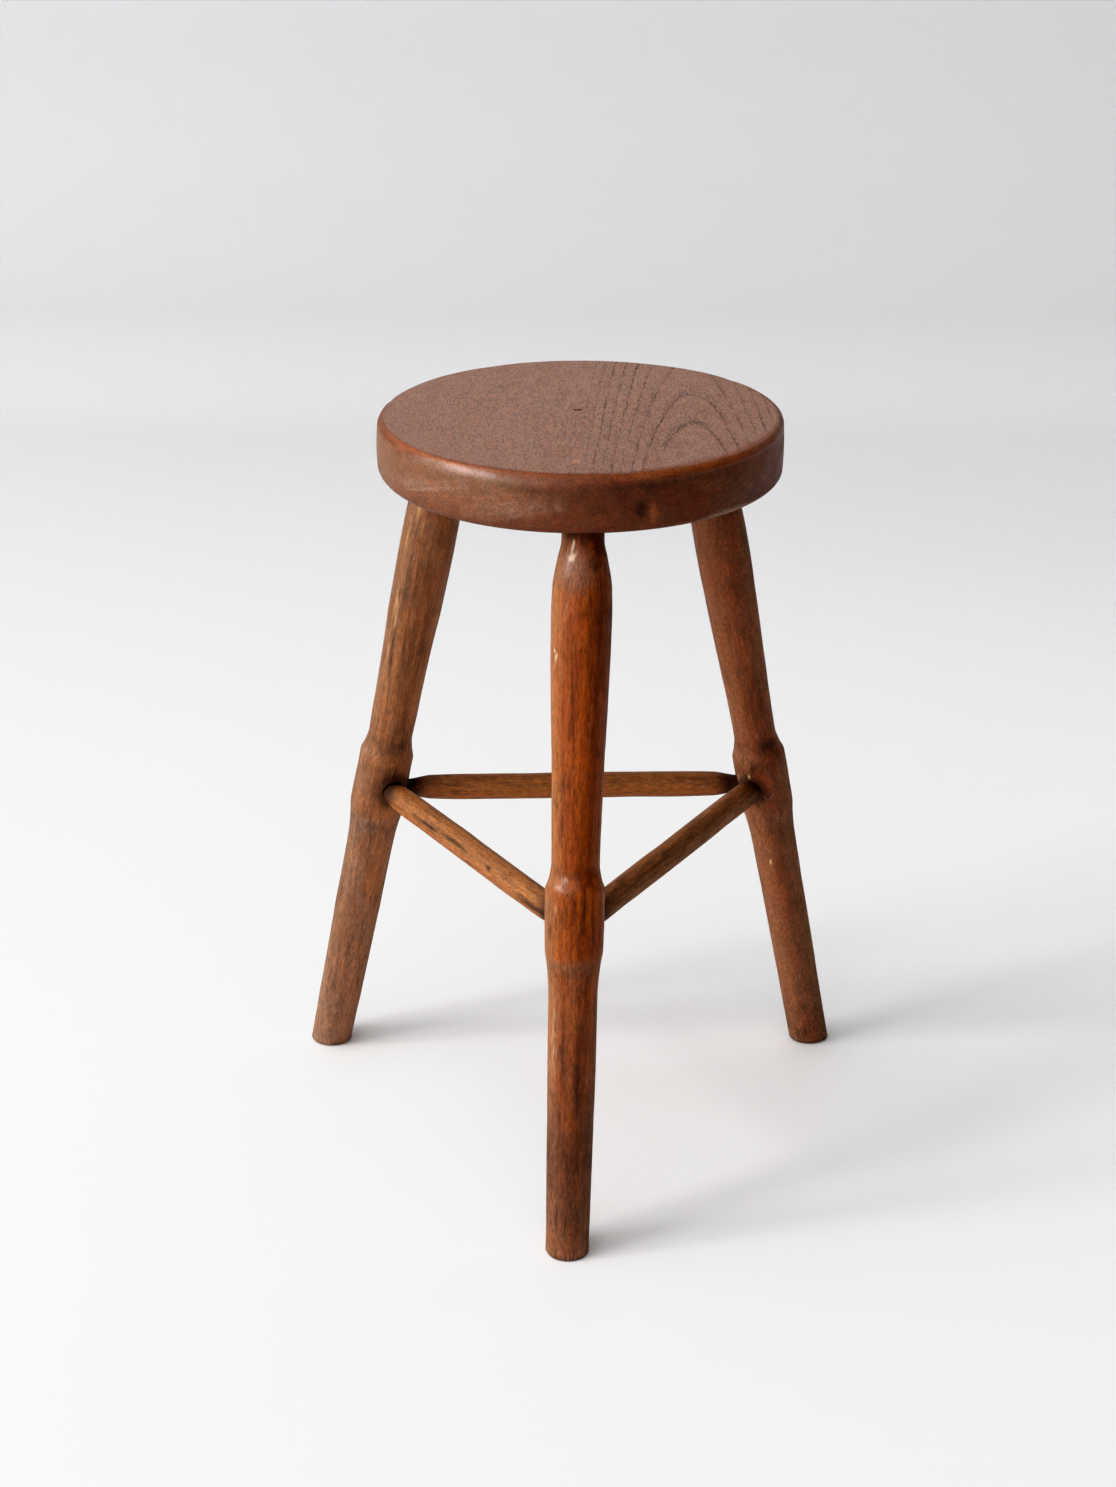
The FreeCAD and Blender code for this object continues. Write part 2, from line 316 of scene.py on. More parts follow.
# Fibres drawn out along the grain, broad ones and fine ones, and short dark dashes in clusters.
def makeFibreStreaks():
    tree, given, out = newGroup("fibreStreaks", {"Broad": 200.0, "Fine": 700.0, "Draw": 0.04, "Dash": 300.0},
                                ["Streak", "Fibre", "Dashes"])
    broad = drawnCloud(tree, given, "Broad", given["Draw"], detail=3.0, roughness=0.6, distortion=0.4)
    fine = drawnCloud(tree, given, "Fine", given["Draw"], detail=3.0, roughness=0.62)
    dash = spread(tree, drawnCloud(tree, given, "Dash", 0.14), 0.5, 0.66)
    here = spread(tree, cloud(tree, given["Place"], across=36.0, along=36.0), 0.44, 0.62)
    feed(tree, out, {"Streak": spread(tree, broad, 0.3, 0.7), "Fibre": spread(tree, fine, 0.28, 0.72),
                     "Dashes": calc(tree, "MULTIPLY", dash, here)})
    return tree


# Uneven old stain: soft patches, blotches, fine mottling, tiny pits and pale flecks.
def makeOldStain():
    tree, given, out = newGroup("oldStain", {"Patch": 34.0, "Blotch": 150.0, "Mottle": 860.0,
                                             "Mottle Draw": 0.24, "Pit": 560.0},
                                ["Patch", "Blotch", "Mottle", "Pits", "Flecks"])
    patch = drawnCloud(tree, given, "Patch", 0.55, detail=4.0, roughness=0.6, distortion=0.3)
    blotch = drawnCloud(tree, given, "Blotch", 0.6, detail=4.0, roughness=0.62, distortion=0.2)
    mottle = drawnCloud(tree, given, "Mottle", given["Mottle Draw"], detail=3.0, roughness=0.7)
    pitted = stretched(tree, given["Place"], given["Pit"], calc(tree, "MULTIPLY", given["Pit"], 0.3))
    cells = put(tree, "ShaderNodeTexVoronoi", {"Vector": pitted, "Scale": 1.0}).outputs
    here = spread(tree, cloud(tree, given["Place"], across=75.0, along=75.0), 0.46, 0.62)
    few = spread(tree, put(tree, "ShaderNodeSeparateColor", {0: cells["Color"]}).outputs[0], 0.86, 0.92)
    pit = spread(tree, cells["Distance"], 0.1, 0.26, 1.0, 0.0)
    fleck = spread(tree, cells["Distance"], 0.12, 0.36, 1.0, 0.0)
    feed(tree, out, {"Patch": spread(tree, patch, 0.38, 0.64), "Blotch": spread(tree, blotch, 0.42, 0.66),
                     "Mottle": spread(tree, mottle, 0.33, 0.67), "Pits": calc(tree, "MULTIPLY", pit, here),
                     "Flecks": calc(tree, "MULTIPLY", fleck, few)})
    return tree


# A painted mark breaks up at its edges along the fibres.
def makeRaggedMark():
    tree, given, out = newGroup("raggedMark", {"Mark": 0.0, "Across": 300.0, "Along": 40.0,
                                               "Raggedness": 0.5, "Softness": 0.5}, ["Mask"])
    torn = cloud(tree, given["Place"], given["Across"], given["Along"], detail=3.0, roughness=0.65)
    shift = calc(tree, "MULTIPLY", calc(tree, "SUBTRACT", torn, 0.5), given["Raggedness"])
    level = calc(tree, "MULTIPLY_ADD", shift, 2.0, given["Mark"])
    least = calc(tree, "SUBTRACT", 0.5, given["Softness"])
    most = calc(tree, "ADD", 0.5, given["Softness"])
    begun = spread(tree, given["Mark"], 0.0, 0.15)  # nothing shows where nothing is painted
    feed(tree, out, {"Mask": calc(tree, "MULTIPLY", spread(tree, level, least, most), begun)})
    return tree


growthRings = makeGrowthRings()
fibreStreaks = makeFibreStreaks()
oldStain = makeOldStain()
raggedMark = makeRaggedMark()
print("node groups made")

# How a mark breaks up: its scale across and along the fibres, how torn it is and how soft.
handWear = {
    "rubbed": {"Across": 210.0, "Along": 60.0}, "faded": {"Across": 330.0, "Along": 36.0},
    "grime": {"Across": 150.0, "Along": 80.0}, "dull": {"Across": 120.0, "Along": 50.0, "Raggedness": 0.45},
    "bare": {"Across": 1100.0, "Along": 80.0, "Raggedness": 1.0, "Softness": 0.3},
}
# How much rougher each thing makes the surface.
rougher = {"blotch": 0.1, "mottle": 0.08, "grime": 0.15, "dull": 0.12, "bare": 0.25, "polish": -0.16,
           "pores": 0.2}
# Shine and relief that the legs and stretchers start from, the relief in millimetres.
turnedShine = {"clean": 0.42, "patch": 0.52, "coat": 0.3, "coatRough": 0.2, "specular": 0.4}
turnedRelief = {"pores": -0.12, "fibre": 0.06, "dashes": -0.12, "blotch": 0.12, "mottle": 0.06, "pits": -0.2,
                "bare": -0.2}
# The layers of tone from the lowest up, on either side of the fine specks.
underSpecks = ("bands", "patch", "blotch", "fibre", "faded", "rubbed", "dull")
overSpecks = ("dashes", "grime", "pores", "pits", "flecks", "bare")
blotchCoat = 0.3  # share of the varnish left on the blotches


# A finish gives each layer's colour and share, and the specks' two tones, their share and what dust and
# painted sheen add.
def woodFinish(name, finish):
    material = bpy.data.materials.new(name)
    material.use_nodes = True
    tree = material.node_tree

    def painted(label, output="Fac"):
        return put(tree, "ShaderNodeAttribute", attribute_name=label).outputs[output]

    def placed(group, values):
        return put(tree, "ShaderNodeGroup", {"Place": place, **values}, node_tree=group).outputs

    place = painted("grainPlace", "Vector")
    rings = placed(growthRings, finish["rings"])
    fibre = placed(fibreStreaks, finish["fibre"])
    stain = placed(oldStain, finish["stain"])
    masks = {"bands": rings["Bands"], "pores": calc(tree, "MULTIPLY", rings["Pores"], painted("figure")),
             "fibre": fibre["Fibre"], "dashes": fibre["Dashes"], "patch": stain["Patch"],
             "blotch": stain["Blotch"], "mottle": stain["Mottle"], "pits": stain["Pits"],
             "flecks": stain["Flecks"], "polish": painted("polish")}
    for label, torn in {**handWear, **finish.get("marks", {})}.items():
        masks[label] = placed(raggedMark, {"Mark": painted(label), **torn})["Mask"]

    def laid(tone, labels):
        for label in labels:
            if label in finish["layers"]:
                colour, share = finish["layers"][label]
                tone = blend(tree, calc(tree, "MULTIPLY", masks[label], share), tone, fromSrgb(*colour))
        return tone

    darkWood, lightWood = (fromSrgb(*colour) for colour in finish["wood"])
    tone = laid(blend(tree, fibre["Streak"], darkWood, lightWood), underSpecks)
    darkSpeck, lightSpeck, share, dusty = finish["specks"]
    specks = blend(tree, masks["mottle"], (*darkSpeck, 1.0), (*lightSpeck, 1.0))
    share = calc(tree, "MULTIPLY_ADD", masks["dull"], dusty, share)
    tone = laid(blend(tree, share, tone, specks, "OVERLAY"), overSpecks)  # 0.5 leaves the tone as it is

    shine = finish["shine"]
    rough = spread(tree, masks["patch"], 0.0, 1.0, shine["clean"], shine["patch"])
    for label, more in {**rougher, **finish.get("rougher", {})}.items():
        rough = calc(tree, "MULTIPLY_ADD", masks[label], more, rough, clamp=True)
    height = 0.0
    for label, rise in finish["relief"].items():
        height = calc(tree, "MULTIPLY_ADD", masks[label], rise, height)
    bumped = put(tree, "ShaderNodeBump", {"Strength": 1.0, "Distance": 0.001, "Height": height}).outputs[0]
    coat = spread(tree, masks["blotch"], 0.0, 1.0, shine["coat"], blotchCoat * shine["coat"])
    feed(tree, tree.nodes["Principled BSDF"], {
        "Base Color": tone, "Roughness": rough, "Normal": bumped, "Specular IOR Level": shine["specular"],
        "Coat Weight": calc(tree, "MULTIPLY", masks["polish"], coat), "Coat Roughness": shine["coatRough"]})
    return material


# One turning for the three legs: distance along the leg from the floor, and diameter.
legTurning = {
    "sole": (0.000, 0.0301), "shin": (0.100, 0.0322), "ankle": (0.186, 0.0340), "flare": (0.2035, 0.0369),
    "swellFoot": (0.2125, 0.0396), "swell": (0.235, 0.0406), "swellTop": (0.2545, 0.0409),
    "swellEdge": (0.2615, 0.0366), "neck": (0.273, 0.0327), "calf": (0.320, 0.0345), "thigh": (0.385, 0.0386),
    "belly": (0.437, 0.0409), "shoulder": (0.4605, 0.0397), "throat": (0.481, 0.0331),
    "tenon": (0.4925, 0.0287), "tenonEnd": (0.545, 0.0286),
}
legRadius = turnedProfile(legTurning.values())
legStance = {
    "underside": 0.496, "topReach": 0.1054, "footReach": 0.2135, "tenonDeep": 0.0245, "around": 120,
    "footRound": 0.0018, "footWave": 0.35, "levelOver": 0.060, "trueFrom": (0.485, 0.495),
    "lumps": ((1.0, 0, 1, 14), (0.5, 9, 2, 55)),  # strength, seed, and how fast they run round and along
    "soleRows": (0.2, 0.45, 0.7, 0.88, 0.97), "footRows": 8,
    "bodyRows": ((0.0045, 0.19, 76), (0.1915, 0.2795, 70), (0.282, 0.440, 62), (0.442, 0.505, 40)),
    "tenonRows": (0.508, 0.001, 8), "tipRows": ((0.95, 0.0002), (0.7, 0.0), (0.35, 0.0)),
}
# Wear that the legs share. Belts have a strength, a place along the leg and a half-length.
legWear = {
    "radius": 18, "patchRun": 30, "facing": 0.35, "facingOver": 75,
    "ringEdges": [(0.75, 0.2555, 0.005), (0.4, 0.2135, 0.008)], "ringRub": [(0.35, 0.235, 0.02)],
    "bodyRub": [(0.45, 0.425, 0.05), (0.3, 0.33, 0.05)],
    "hollowLeast": 0.4, "footLeast": 0.55, "shinLeast": 0.6,
    "hollows": [(0.5, 0.2685, 0.006), (0.22, 0.1985, 0.006)], "throat": (0.6, 0.490, 0.506),
    "soleGrime": (0.4, 0.005, 0.0), "joint": (0.95, 0.0, 0.0065), "soleBare": (0.3, 0.003, 0.004),
    "flankOver": 26, "flankFrom": (0.16, 0.30, 0.36), "flankTo": (0.50, 0.46), "dryFoot": (0.14, 0.02),
    "shinTop": (0.2095, 0.2035), "polishOver": 48,
    "polish": [(1.0, 0.480, 0.012), (1.0, 0.262, 0.006), (0.4, 0.44, 0.03)],
}

# Each leg's own dents and marks, in millimetres: place along, angle round, length and width, then a dent's
# depth or a mark's strength.
frontLeg = {
    "node": "front_leg", "angle": -90, "footShift": (-0.0052, -0.0005), "topShift": (0.0028, 0.0),
    "seed": 1, "uneven": 0.00028, "girth": ((0.0, 1.0),),
    "dents": [
        (452, -34, 10, 6, 0.6), (487, -22, 5, 3, 0.7), (262, -12, 5, 5, 0.7), (222, -48, 8, 4, 0.7),
        (415, -53, 6, 2, 0.6), (245, 38, 8, 7, 0.5)],
    # The pale marks from 482 to 492 along and at 263.5 are painted glints; the others are bare wear.
    "bare": [
        (419, -61, 1.8, 1, 0.9), (415.8, -55, 1.8, 1, 0.9), (413, -60, 1.6, 1, 0.8),
        (491.8, -26, 2.6, 1.2, 1), (488.4, -31, 2.8, 1.3, 1), (482.2, -27, 3, 2.6, 1.1),
        (150, -50, 40, 5, 0.3), (263.5, -27, 3.4, 3.4, 0.5), (244, -41, 4, 0.8, 0.4)],
    # The broad dark marks round the right flank, at 27 to 58 degrees, are painted shade.
    "dark": [
        (445.6, 4, 3, 3, 0.5), (476, 30, 3, 3, 0.5), (440, 58, 50, 11, 0.35), (500, 10, 10, 40, 0.75),
        (490, 52, 10, 10, 0.3), (120, 8, 80, 8, 0.22), (243, -2, 11, 1.4, 0.6), (249, 18, 8, 1.4, 0.6),
        (236, 17, 10, 1.3, 0.6), (228, -56, 6, 1.8, 0.6), (243, -33, 4, 1.3, 0.5), (224, 8, 9, 1.3, 0.5),
        (330, -36, 8, 1.4, 0.4), (300, -44, 10, 1.2, 0.4), (350, 27, 80, 7.5, 0.24),
        (448, 30, 30, 8, 0.24), (385, -18, 65, 1.7, 0.46), (325, -31, 35, 1.5, 0.44),
        (425, -40, 22, 1.4, 0.36), (155, -24, 40, 1.7, 0.42), (130, 14, 35, 1.7, 0.36)],
    "worn": [
        (335, -10, 45, 16, 0.45), (440, -12, 20, 9, 0.2), (380, 6, 75, 4.2, 0.5)],
    # The dusty mark at the throat (473) is painted sheen, and the long one down the right limb (64 degrees) a
    # painted reflection.
    "dusty": [
        (258, -20, 4, 6, 0.4), (473, -10, 15, 18, 0.85), (70, -66, 50, 9, 0.6), (235, -64, 20, 7, 0.6),
        (206, 0, 6, 30, 0.5), (60, 64, 60, 7.5, 0.7)],
    "grainShift": (0.055, 0.020, 0.0), "rubbedSide": -20, "footGrime": (0.62, 0.066, 0.062), "ringRub": 0.6,
    # Its faded side is sun-fading with painted sheen on the flank towards the windows.
    "fadedSide": -72, "fadedOver": 38, "faded": 0.85, "fadedAll": 0.0, "dry": 0.12, "dryShin": 0.42,
    "dryFoot": 0.35, "polish": 1.0, "polishSide": -32,
    "finish": {
        "rings": {"Drift Across": 0.02, "Drift Deep": -0.015, "Spacing": 0.0046},
        "fibre": {"Broad": 190.0, "Fine": 760.0, "Draw": 0.034},
        "stain": {"Patch": 30.0, "Mottle": 900.0, "Mottle Draw": 0.22, "Pit": 400.0},
        "wood": ((122, 56, 9), (174, 93, 25)),
        "layers": {
            "bands": ((143, 69, 15), 0.3), "patch": ((126, 58, 15), 0.4), "blotch": ((100, 54, 20), 0.3),
            "fibre": ((102, 49, 14), 0.35), "faded": ((168, 116, 72), 0.85), "rubbed": ((174, 94, 30), 0.5),
            "dull": ((130, 98, 78), 0.65), "dashes": ((54, 33, 14), 0.4), "grime": ((50, 21, 8), 0.75),
            "pores": ((58, 34, 14), 0.4), "pits": ((58, 34, 14), 0.5), "flecks": ((228, 202, 176), 0.08),
            "bare": ((228, 202, 176), 0.85)},
        "specks": ((0.34, 0.35, 0.37), (0.70, 0.67, 0.64), 0.7, 0.1),
        "marks": {"bare": {"Across": 900.0, "Along": 120.0, "Softness": 0.4}},
        "shine": {"clean": 0.34, "patch": 0.40, "coat": 0.65, "coatRough": 0.24, "specular": 0.32},
        "rougher": {"mottle": 0.06, "polish": -0.14},
        "relief": {**turnedRelief, "dashes": -0.14, "blotch": 0.20, "mottle": 0.05, "pits": -0.3},
    },
}
rightRearLeg = {
    "node": "right_rear_leg", "angle": 30, "footShift": (0.0003, 0.0018), "topShift": (-0.0012, 0.0005),
    "seed": 2, "uneven": 0.00032,
    "girth": ((0.0, 0.965), (0.15, 0.955), (0.19, 0.96), (0.25, 0.955), (0.28, 0.94), (0.40, 0.955),
              (0.46, 0.93), (0.49, 1.0)),
    "dents": [
        (169, -140, 3, 3, 0.8), (205, -125, 12, 8, 0.5), (262, -95, 6, 8, 0.7), (430, -120, 16, 7, 0.4)],
    "bare": [
        (169, -140, 2.2, 2, 0.75), (245.5, -150, 1.8, 1.2, 0.75), (243, 178, 4.5, 2.2, 0.5)],
    "dark": [
        (400, -106, 12, 5, 0.25), (372, -94, 20, 5, 0.2), (266, -84, 7, 8, 0.6), (300, -88, 18, 5, 0.2),
        (252, -120, 7, 20, 0.45), (170, -112, 8, 6, 0.35), (190, -98, 10, 6, 0.35), (252, -138, 3, 1, 0.7)],
    "worn": [
        (245, -119, 10, 4.5, 0.9), (235, -111, 6, 4, 0.7), (288, -128, 12, 4, 0.6)],
    # The long dusty marks down the right limb, at -66 to -68 degrees, are painted reflection.
    "dusty": [
        (178, -152, 6, 8, 0.7), (243, 178, 8, 5, 0.6), (205, -100, 10, 6, 0.5), (120, -68, 80, 8.5, 0.8),
        (380, -66, 70, 7.5, 0.6), (235, -66, 15, 7, 0.6)],
    "grainShift": (0.010, 0.062, 0.3), "rubbedSide": -140, "footGrime": (0.55, 0.0, 0.050), "ringRub": 0.2,
    # Its faded side is sun-fading with painted sheen on the flank towards the windows.
    "fadedSide": -166, "fadedOver": 40, "faded": 0.85, "fadedAll": 0.1, "dry": 0.4, "dryShin": 0.25,
    "dryFoot": 0.1, "polish": 0.3, "polishSide": -150,
    "finish": {
        "rings": {"Drift Across": -0.02, "Drift Deep": 0.02, "Spacing": 0.0056, "Wobble": 0.005},
        "fibre": {"Broad": 120.0, "Fine": 700.0, "Draw": 0.09, "Dash": 240.0},
        "stain": {"Patch": 66.0, "Mottle": 700.0, "Mottle Draw": 0.5},
        "wood": ((122, 60, 28), (158, 84, 41)),
        "layers": {
            "bands": ((136, 72, 35), 0.2), "patch": ((108, 66, 41), 0.7), "blotch": ((102, 67, 42), 0.55),
            "fibre": ((111, 61, 33), 0.3), "faded": ((155, 106, 72), 0.75), "rubbed": ((172, 91, 44), 0.6),
            "dull": ((136, 99, 74), 0.6), "dashes": ((61, 37, 20), 0.3), "grime": ((49, 30, 17), 0.75),
            "pores": ((57, 33, 18), 0.25), "pits": ((57, 33, 18), 0.3), "flecks": ((230, 186, 150), 0.2),
            "bare": ((230, 186, 150), 0.85)},
        "specks": ((0.32, 0.33, 0.35), (0.72, 0.69, 0.66), 0.65, 0.1),
        "shine": {**turnedShine, "clean": 0.40, "patch": 0.50, "specular": 0.37},
        "relief": {**turnedRelief, "dashes": -0.1, "mottle": 0.07},
    },
}
leftRearLeg = {
    "node": "left_rear_leg", "angle": 150, "footShift": (0.0011, -0.0020), "topShift": (0.0, -0.0004),
    "seed": 3, "uneven": 0.00035,
    "girth": ((0.0, 1.01), (0.19, 1.025), (0.22, 1.0), (0.245, 0.955), (0.262, 0.97), (0.28, 0.99),
              (0.385, 0.985), (0.44, 0.955), (0.47, 0.955), (0.49, 1.0)),
    "dents": [
        (262, 80, 6, 10, 0.8), (385, 66, 30, 4, 0.4), (208, 95, 10, 10, 0.6), (60, 110, 12, 8, 0.5)],
    "bare": [
        (386, 70, 14, 2, 0.62), (372, 78, 12, 1, 0.7), (436, 68, 12, 1.2, 0.55), (342, 70, 10, 1.2, 0.6),
        (462, 84, 10, 1.4, 0.8), (450, 100, 8, 1.2, 0.6), (244, 62, 4, 0.8, 0.5), (168, 80, 5, 1, 0.5),
        (233.5, 131, 2.4, 1.2, 0.9)],
    "dark": [
        (385, 74, 18, 0.9, 0.8), (361, 80, 16, 1.3, 0.9), (335, 84, 14, 1.6, 0.8), (402, 88, 30, 2.2, 0.6),
        (255, 142, 10, 6, 0.2), (444, 78, 14, 12, 0.3), (200, 110, 5, 12, 0.4), (318, 92, 12, 1.6, 0.5),
        (236.5, 128, 3.5, 1.2, 0.8)],
    # The long worn marks down the right limb, at 172 and 176 degrees, are painted light on the shaded side.
    "worn": [
        (212, 138, 10, 5, 0.4), (100, 172, 110, 11, 1), (50, 148, 60, 8, 0.5), (330, 176, 110, 8.5, 0.9),
        (222, 70, 12, 5, 0.35), (170, 148, 40, 8, 0.6)],
    "dusty": [
        (200, 95, 6, 12, 0.6), (258, 40, 6, 8, 0.6), (230, 60, 14, 6, 0.4)],
    "grainShift": (-0.048, 0.034, 0.7), "rubbedSide": 90, "footGrime": (0.10, 0.0, 0.060), "ringRub": 0.5,
    # Its faded side is sun-fading with painted sheen on the flank towards the windows.
    "fadedSide": 58, "fadedOver": 46, "faded": 0.38, "fadedAll": 0.1, "dry": 0.3, "dryShin": 0.35,
    "dryFoot": 0.3, "polish": 0.3, "polishSide": 80, "bareFlank": 74,
    "finish": {
        "rings": {"Drift Across": 0.025, "Drift Deep": 0.01, "Spacing": 0.0042},
        "fibre": {"Broad": 210.0, "Fine": 680.0, "Draw": 0.035}, "stain": {},
        "wood": ((116, 65, 33), (168, 109, 62)),
        "layers": {
            "bands": ((142, 92, 53), 0.3), "patch": ((113, 73, 47), 0.45), "blotch": ((100, 75, 53), 0.45),
            "fibre": ((100, 65, 41), 0.55), "faded": ((158, 125, 96), 0.65), "rubbed": ((178, 118, 76), 0.75),
            "dull": ((150, 121, 104), 0.6), "dashes": ((58, 42, 31), 0.35), "grime": ((49, 34, 24), 0.7),
            "pores": ((55, 38, 29), 0.4), "pits": ((55, 38, 29), 0.35), "flecks": ((200, 158, 116), 0.3),
            "bare": ((200, 158, 116), 0.6)},
        "specks": ((0.33, 0.34, 0.36), (0.71, 0.68, 0.65), 0.65, 0.1),
        "shine": {**turnedShine, "specular": 0.38},
        "relief": {**turnedRelief, "pores": -0.15, "fibre": 0.08, "pits": -0.25, "bare": -0.25},
    },
}
legs = {"frontLeg": frontLeg, "rightRearLeg": rightRearLeg, "leftRearLeg": leftRearLeg}


# Where a leg's middle line starts on the floor and meets the seat, and the ways along, out from and round it.
def legLine(leg):
    turn = math.radians(leg["angle"])
    outward = np.array([math.cos(turn), math.sin(turn), 0])
    foot = outward * legStance["footReach"] + np.array([*leg["footShift"], 0])
    top = outward * legStance["topReach"] + np.array([*leg["topShift"], legStance["underside"]])
    axis = (top - foot) / np.linalg.norm(top - foot)
    out = outward - axis * (outward @ axis)
    out /= np.linalg.norm(out)
    return foot, top, axis, out, np.cross(axis, out)


def legJoint(leg, height):
    foot, top, axis = legLine(leg)[:3]
    return foot + axis * height / axis[2]


def buildLeg(name, leg):
    foot, top, axis, out, across = legLine(leg)
    seed = leg["seed"]
    theta = ringAngles(legStance["around"])
    ways = np.cos(theta)[:, None] * out + np.sin(theta)[:, None] * across

    def surface(along):  # half-diameter at each angle, with the leg's own lumps and dents
        radius = legRadius(along) * np.interp(along, *zip(*leg["girth"]))
        lumps = sum(strength * unevenness(seed + more, theta * turns, along * runs)
                    for strength, more, turns, runs in legStance["lumps"])
        radius = radius + leg["uneven"] * lumps * (1 - smooth(*legStance["trueFrom"], along))
        for dent in leg["dents"]:
            radius = radius - mm * blot(along / mm, theta, radius / mm, *dent)
        return radius

    soleReach = -legRadius(0.0) * ways[:, 2] / axis[2]  # along the leg to the floor at each angle
    edge = legStance["footRound"] * (1 + legStance["footWave"] * unevenness(seed + 4, theta * 2))

    def levelRow(height, inset):
        along = height / axis[2] + soleReach
        rim = foot + along[:, None] * axis + surface(along)[:, None] * ways
        middle = foot + axis * np.mean(height) / axis[2]
        spokes = rim - middle
        spokes[:, 2] = 0
        row = middle + spokes * (1 - inset / np.linalg.norm(spokes, axis=1))[:, None]
        row[:, 2] = height
        return row

    rim = levelRow(0 * theta, edge)
    soleMiddle = rim.mean(0)
    rows = [soleMiddle + (rim - soleMiddle) * part for part in legStance["soleRows"]]
    for turn in np.radians(np.linspace(0, 90, legStance["footRows"])):
        rows.append(levelRow(edge * (1 - math.cos(turn)), edge * (1 - math.sin(turn))))
    reach = np.linalg.norm(top - foot) + legStance["tenonDeep"]
    tenonFrom, tenonShort, tenonCount = legStance["tenonRows"]
    runs = [*legStance["bodyRows"], (tenonFrom, reach - tenonShort, tenonCount)]
    for place in np.concatenate([np.linspace(*run) for run in runs]):
        along = place + soleReach * (1 - smooth(0, legStance["levelOver"], place))
        rows.append(foot + along[:, None] * axis + surface(along)[:, None] * ways)
    for part, back in legStance["tipRows"]:
        rows.append(foot + axis * (reach - back) + (surface(reach + 0 * theta) * part)[:, None] * ways)
    return meshFromRings(name, np.array(rows), soleMiddle, foot + axis * reach)


def legHoles(name):
    holes = []
    for rung in stretchers.values():
        start, end, way = stretcherLine(rung)
        for leg, tenon, inner, outer in ((rung["from"], rung["ends"][0], start, way),
                                         (rung["to"], rung["ends"][1], end, -way)):
            if leg == name:
                lifted = np.array([0, 0, tenon.get("holeUp", 0.0)])
                radius = tenon.get("hole", tenon["tenon"] / 2 + rungTurning["mortiseGap"])
                holes.append((inner - outer * rungTurning["holeSpare"] + lifted,
                              inner + outer * rungTurning["holeReach"] + lifted, radius))
    return holes


def markLeg(name, piece, leg):
    foot, top, axis, out, across = legLine(leg)
    points = pointsOf(piece)
    along, x, y = ((points - foot) @ way for way in (axis, out, across))
    turn, rise = np.arctan2(y, x), points[:, 2]
    patchy = patches(leg["seed"] + 2, turn * 2, along * legWear["patchRun"])

    def belts(rows):
        return sum(ridge(along, *row) for row in rows)

    def blots(label):
        return sum(blot(along / mm, turn, legWear["radius"], *mark) for mark in leg[label])

    facing = atLeast(legWear["facing"], towards(turn, leg["rubbedSide"], legWear["facingOver"]))
    rubbed = leg["ringRub"] * (belts(legWear["ringEdges"]) + belts(legWear["ringRub"]) * patchy)
    # Rubbed wear, with painted light among the worn marks.
    rubbed = (rubbed + belts(legWear["bodyRub"]) * patchy) * facing + blots("worn")
    # Grime, with painted shade among the dark marks.
    grime = blots("dark") + ramp(along, *legWear["throat"]) + ramp(rise, *legWear["soleGrime"])
    grime += belts(legWear["hollows"]) * atLeast(legWear["hollowLeast"], patchy)
    grime += ridge(along, *leg["footGrime"]) * atLeast(legWear["footLeast"], patchy)
    for start, end, radius in legHoles(name):
        way = (end - start) / np.linalg.norm(end - start)
        arm = points - start
        reach = arm @ way
        off = np.linalg.norm(arm - reach[:, None] * way, axis=1)
        grime += ridge(off - radius, *legWear["joint"]) * (reach > 0)
    # Bare wood, with painted glints among the bare marks.
    bare = blots("bare") + ridge(rise, *legWear["soleBare"]) * patchy
    if "bareFlank" in leg:
        shown = ramp(along, *legWear["flankFrom"]) * smooth(*legWear["flankTo"], along)
        bare += towards(turn, leg["bareFlank"], legWear["flankOver"]) * shown
    # Sun-faded, with painted sheen, on the side towards the windows.
    faded = leg["fadedAll"] + leg["faded"] * towards(turn, leg["fadedSide"], leg["fadedOver"])
    # Dry wear and dust, with painted sheen and reflection among the dusty marks.
    dull = leg["dry"] * patchy + leg["dryFoot"] * smooth(*legWear["dryFoot"], along) + blots("dusty")
    dull += leg["dryShin"] * smooth(*legWear["shinTop"], along) * atLeast(legWear["shinLeast"], patchy)
    polish = leg["polish"] * belts(legWear["polish"])
    polish *= towards(turn, leg["polishSide"], legWear["polishOver"])
    storeMarks(piece, np.stack([x, y, along], 1) + np.array(leg["grainShift"]), rubbed=rubbed, faded=faded,
               grime=grime, bare=bare, dull=dull, polish=polish, figure=1 + 0 * along)


# The stretchers: one turning, then which legs each joins, how high each end sits and how it is drawn in.
rungTurning = {
    "diameter": 0.0187, "height": 0.223, "stopShort": 0.0121, "hidden": 0.0075, "around": 60,
    "tenonSwell": 0.0002, "middleSwell": 0.0003,
    "drawnIn": ((0.55, 0.955), (1.25, 1.0)),  # part of the taper, and share of the diameter
    "uneven": 0.00025, "unevenFrom": 0.02, "unevenRun": 30, "rows": (0.0004, 0.05, 40),
    "middleRows": (0.0515, 92), "tipRows": (0.3, 0.65, 0.95), "mortiseGap": 0.00015,
    "holeSpare": 0.0002, "holeReach": 0.030,
}
rungWear = {
    "radius": 9.3, "patchRun": 60, "dent": 0.95, "joint": (0.95, 0.026, 0.008),
    "topGrime": (0.3, 34.38, 28.65), "topRub": (0.4, 0.0, 51.57), "topRubFrom": (0.02, 0.06),
    "sideRub": (0.8, 114.59, 34.38), "sideRubFrom": (0.004, 0.03), "fadedFrom": (0.01, 0.035), "dull": 0.25,
}
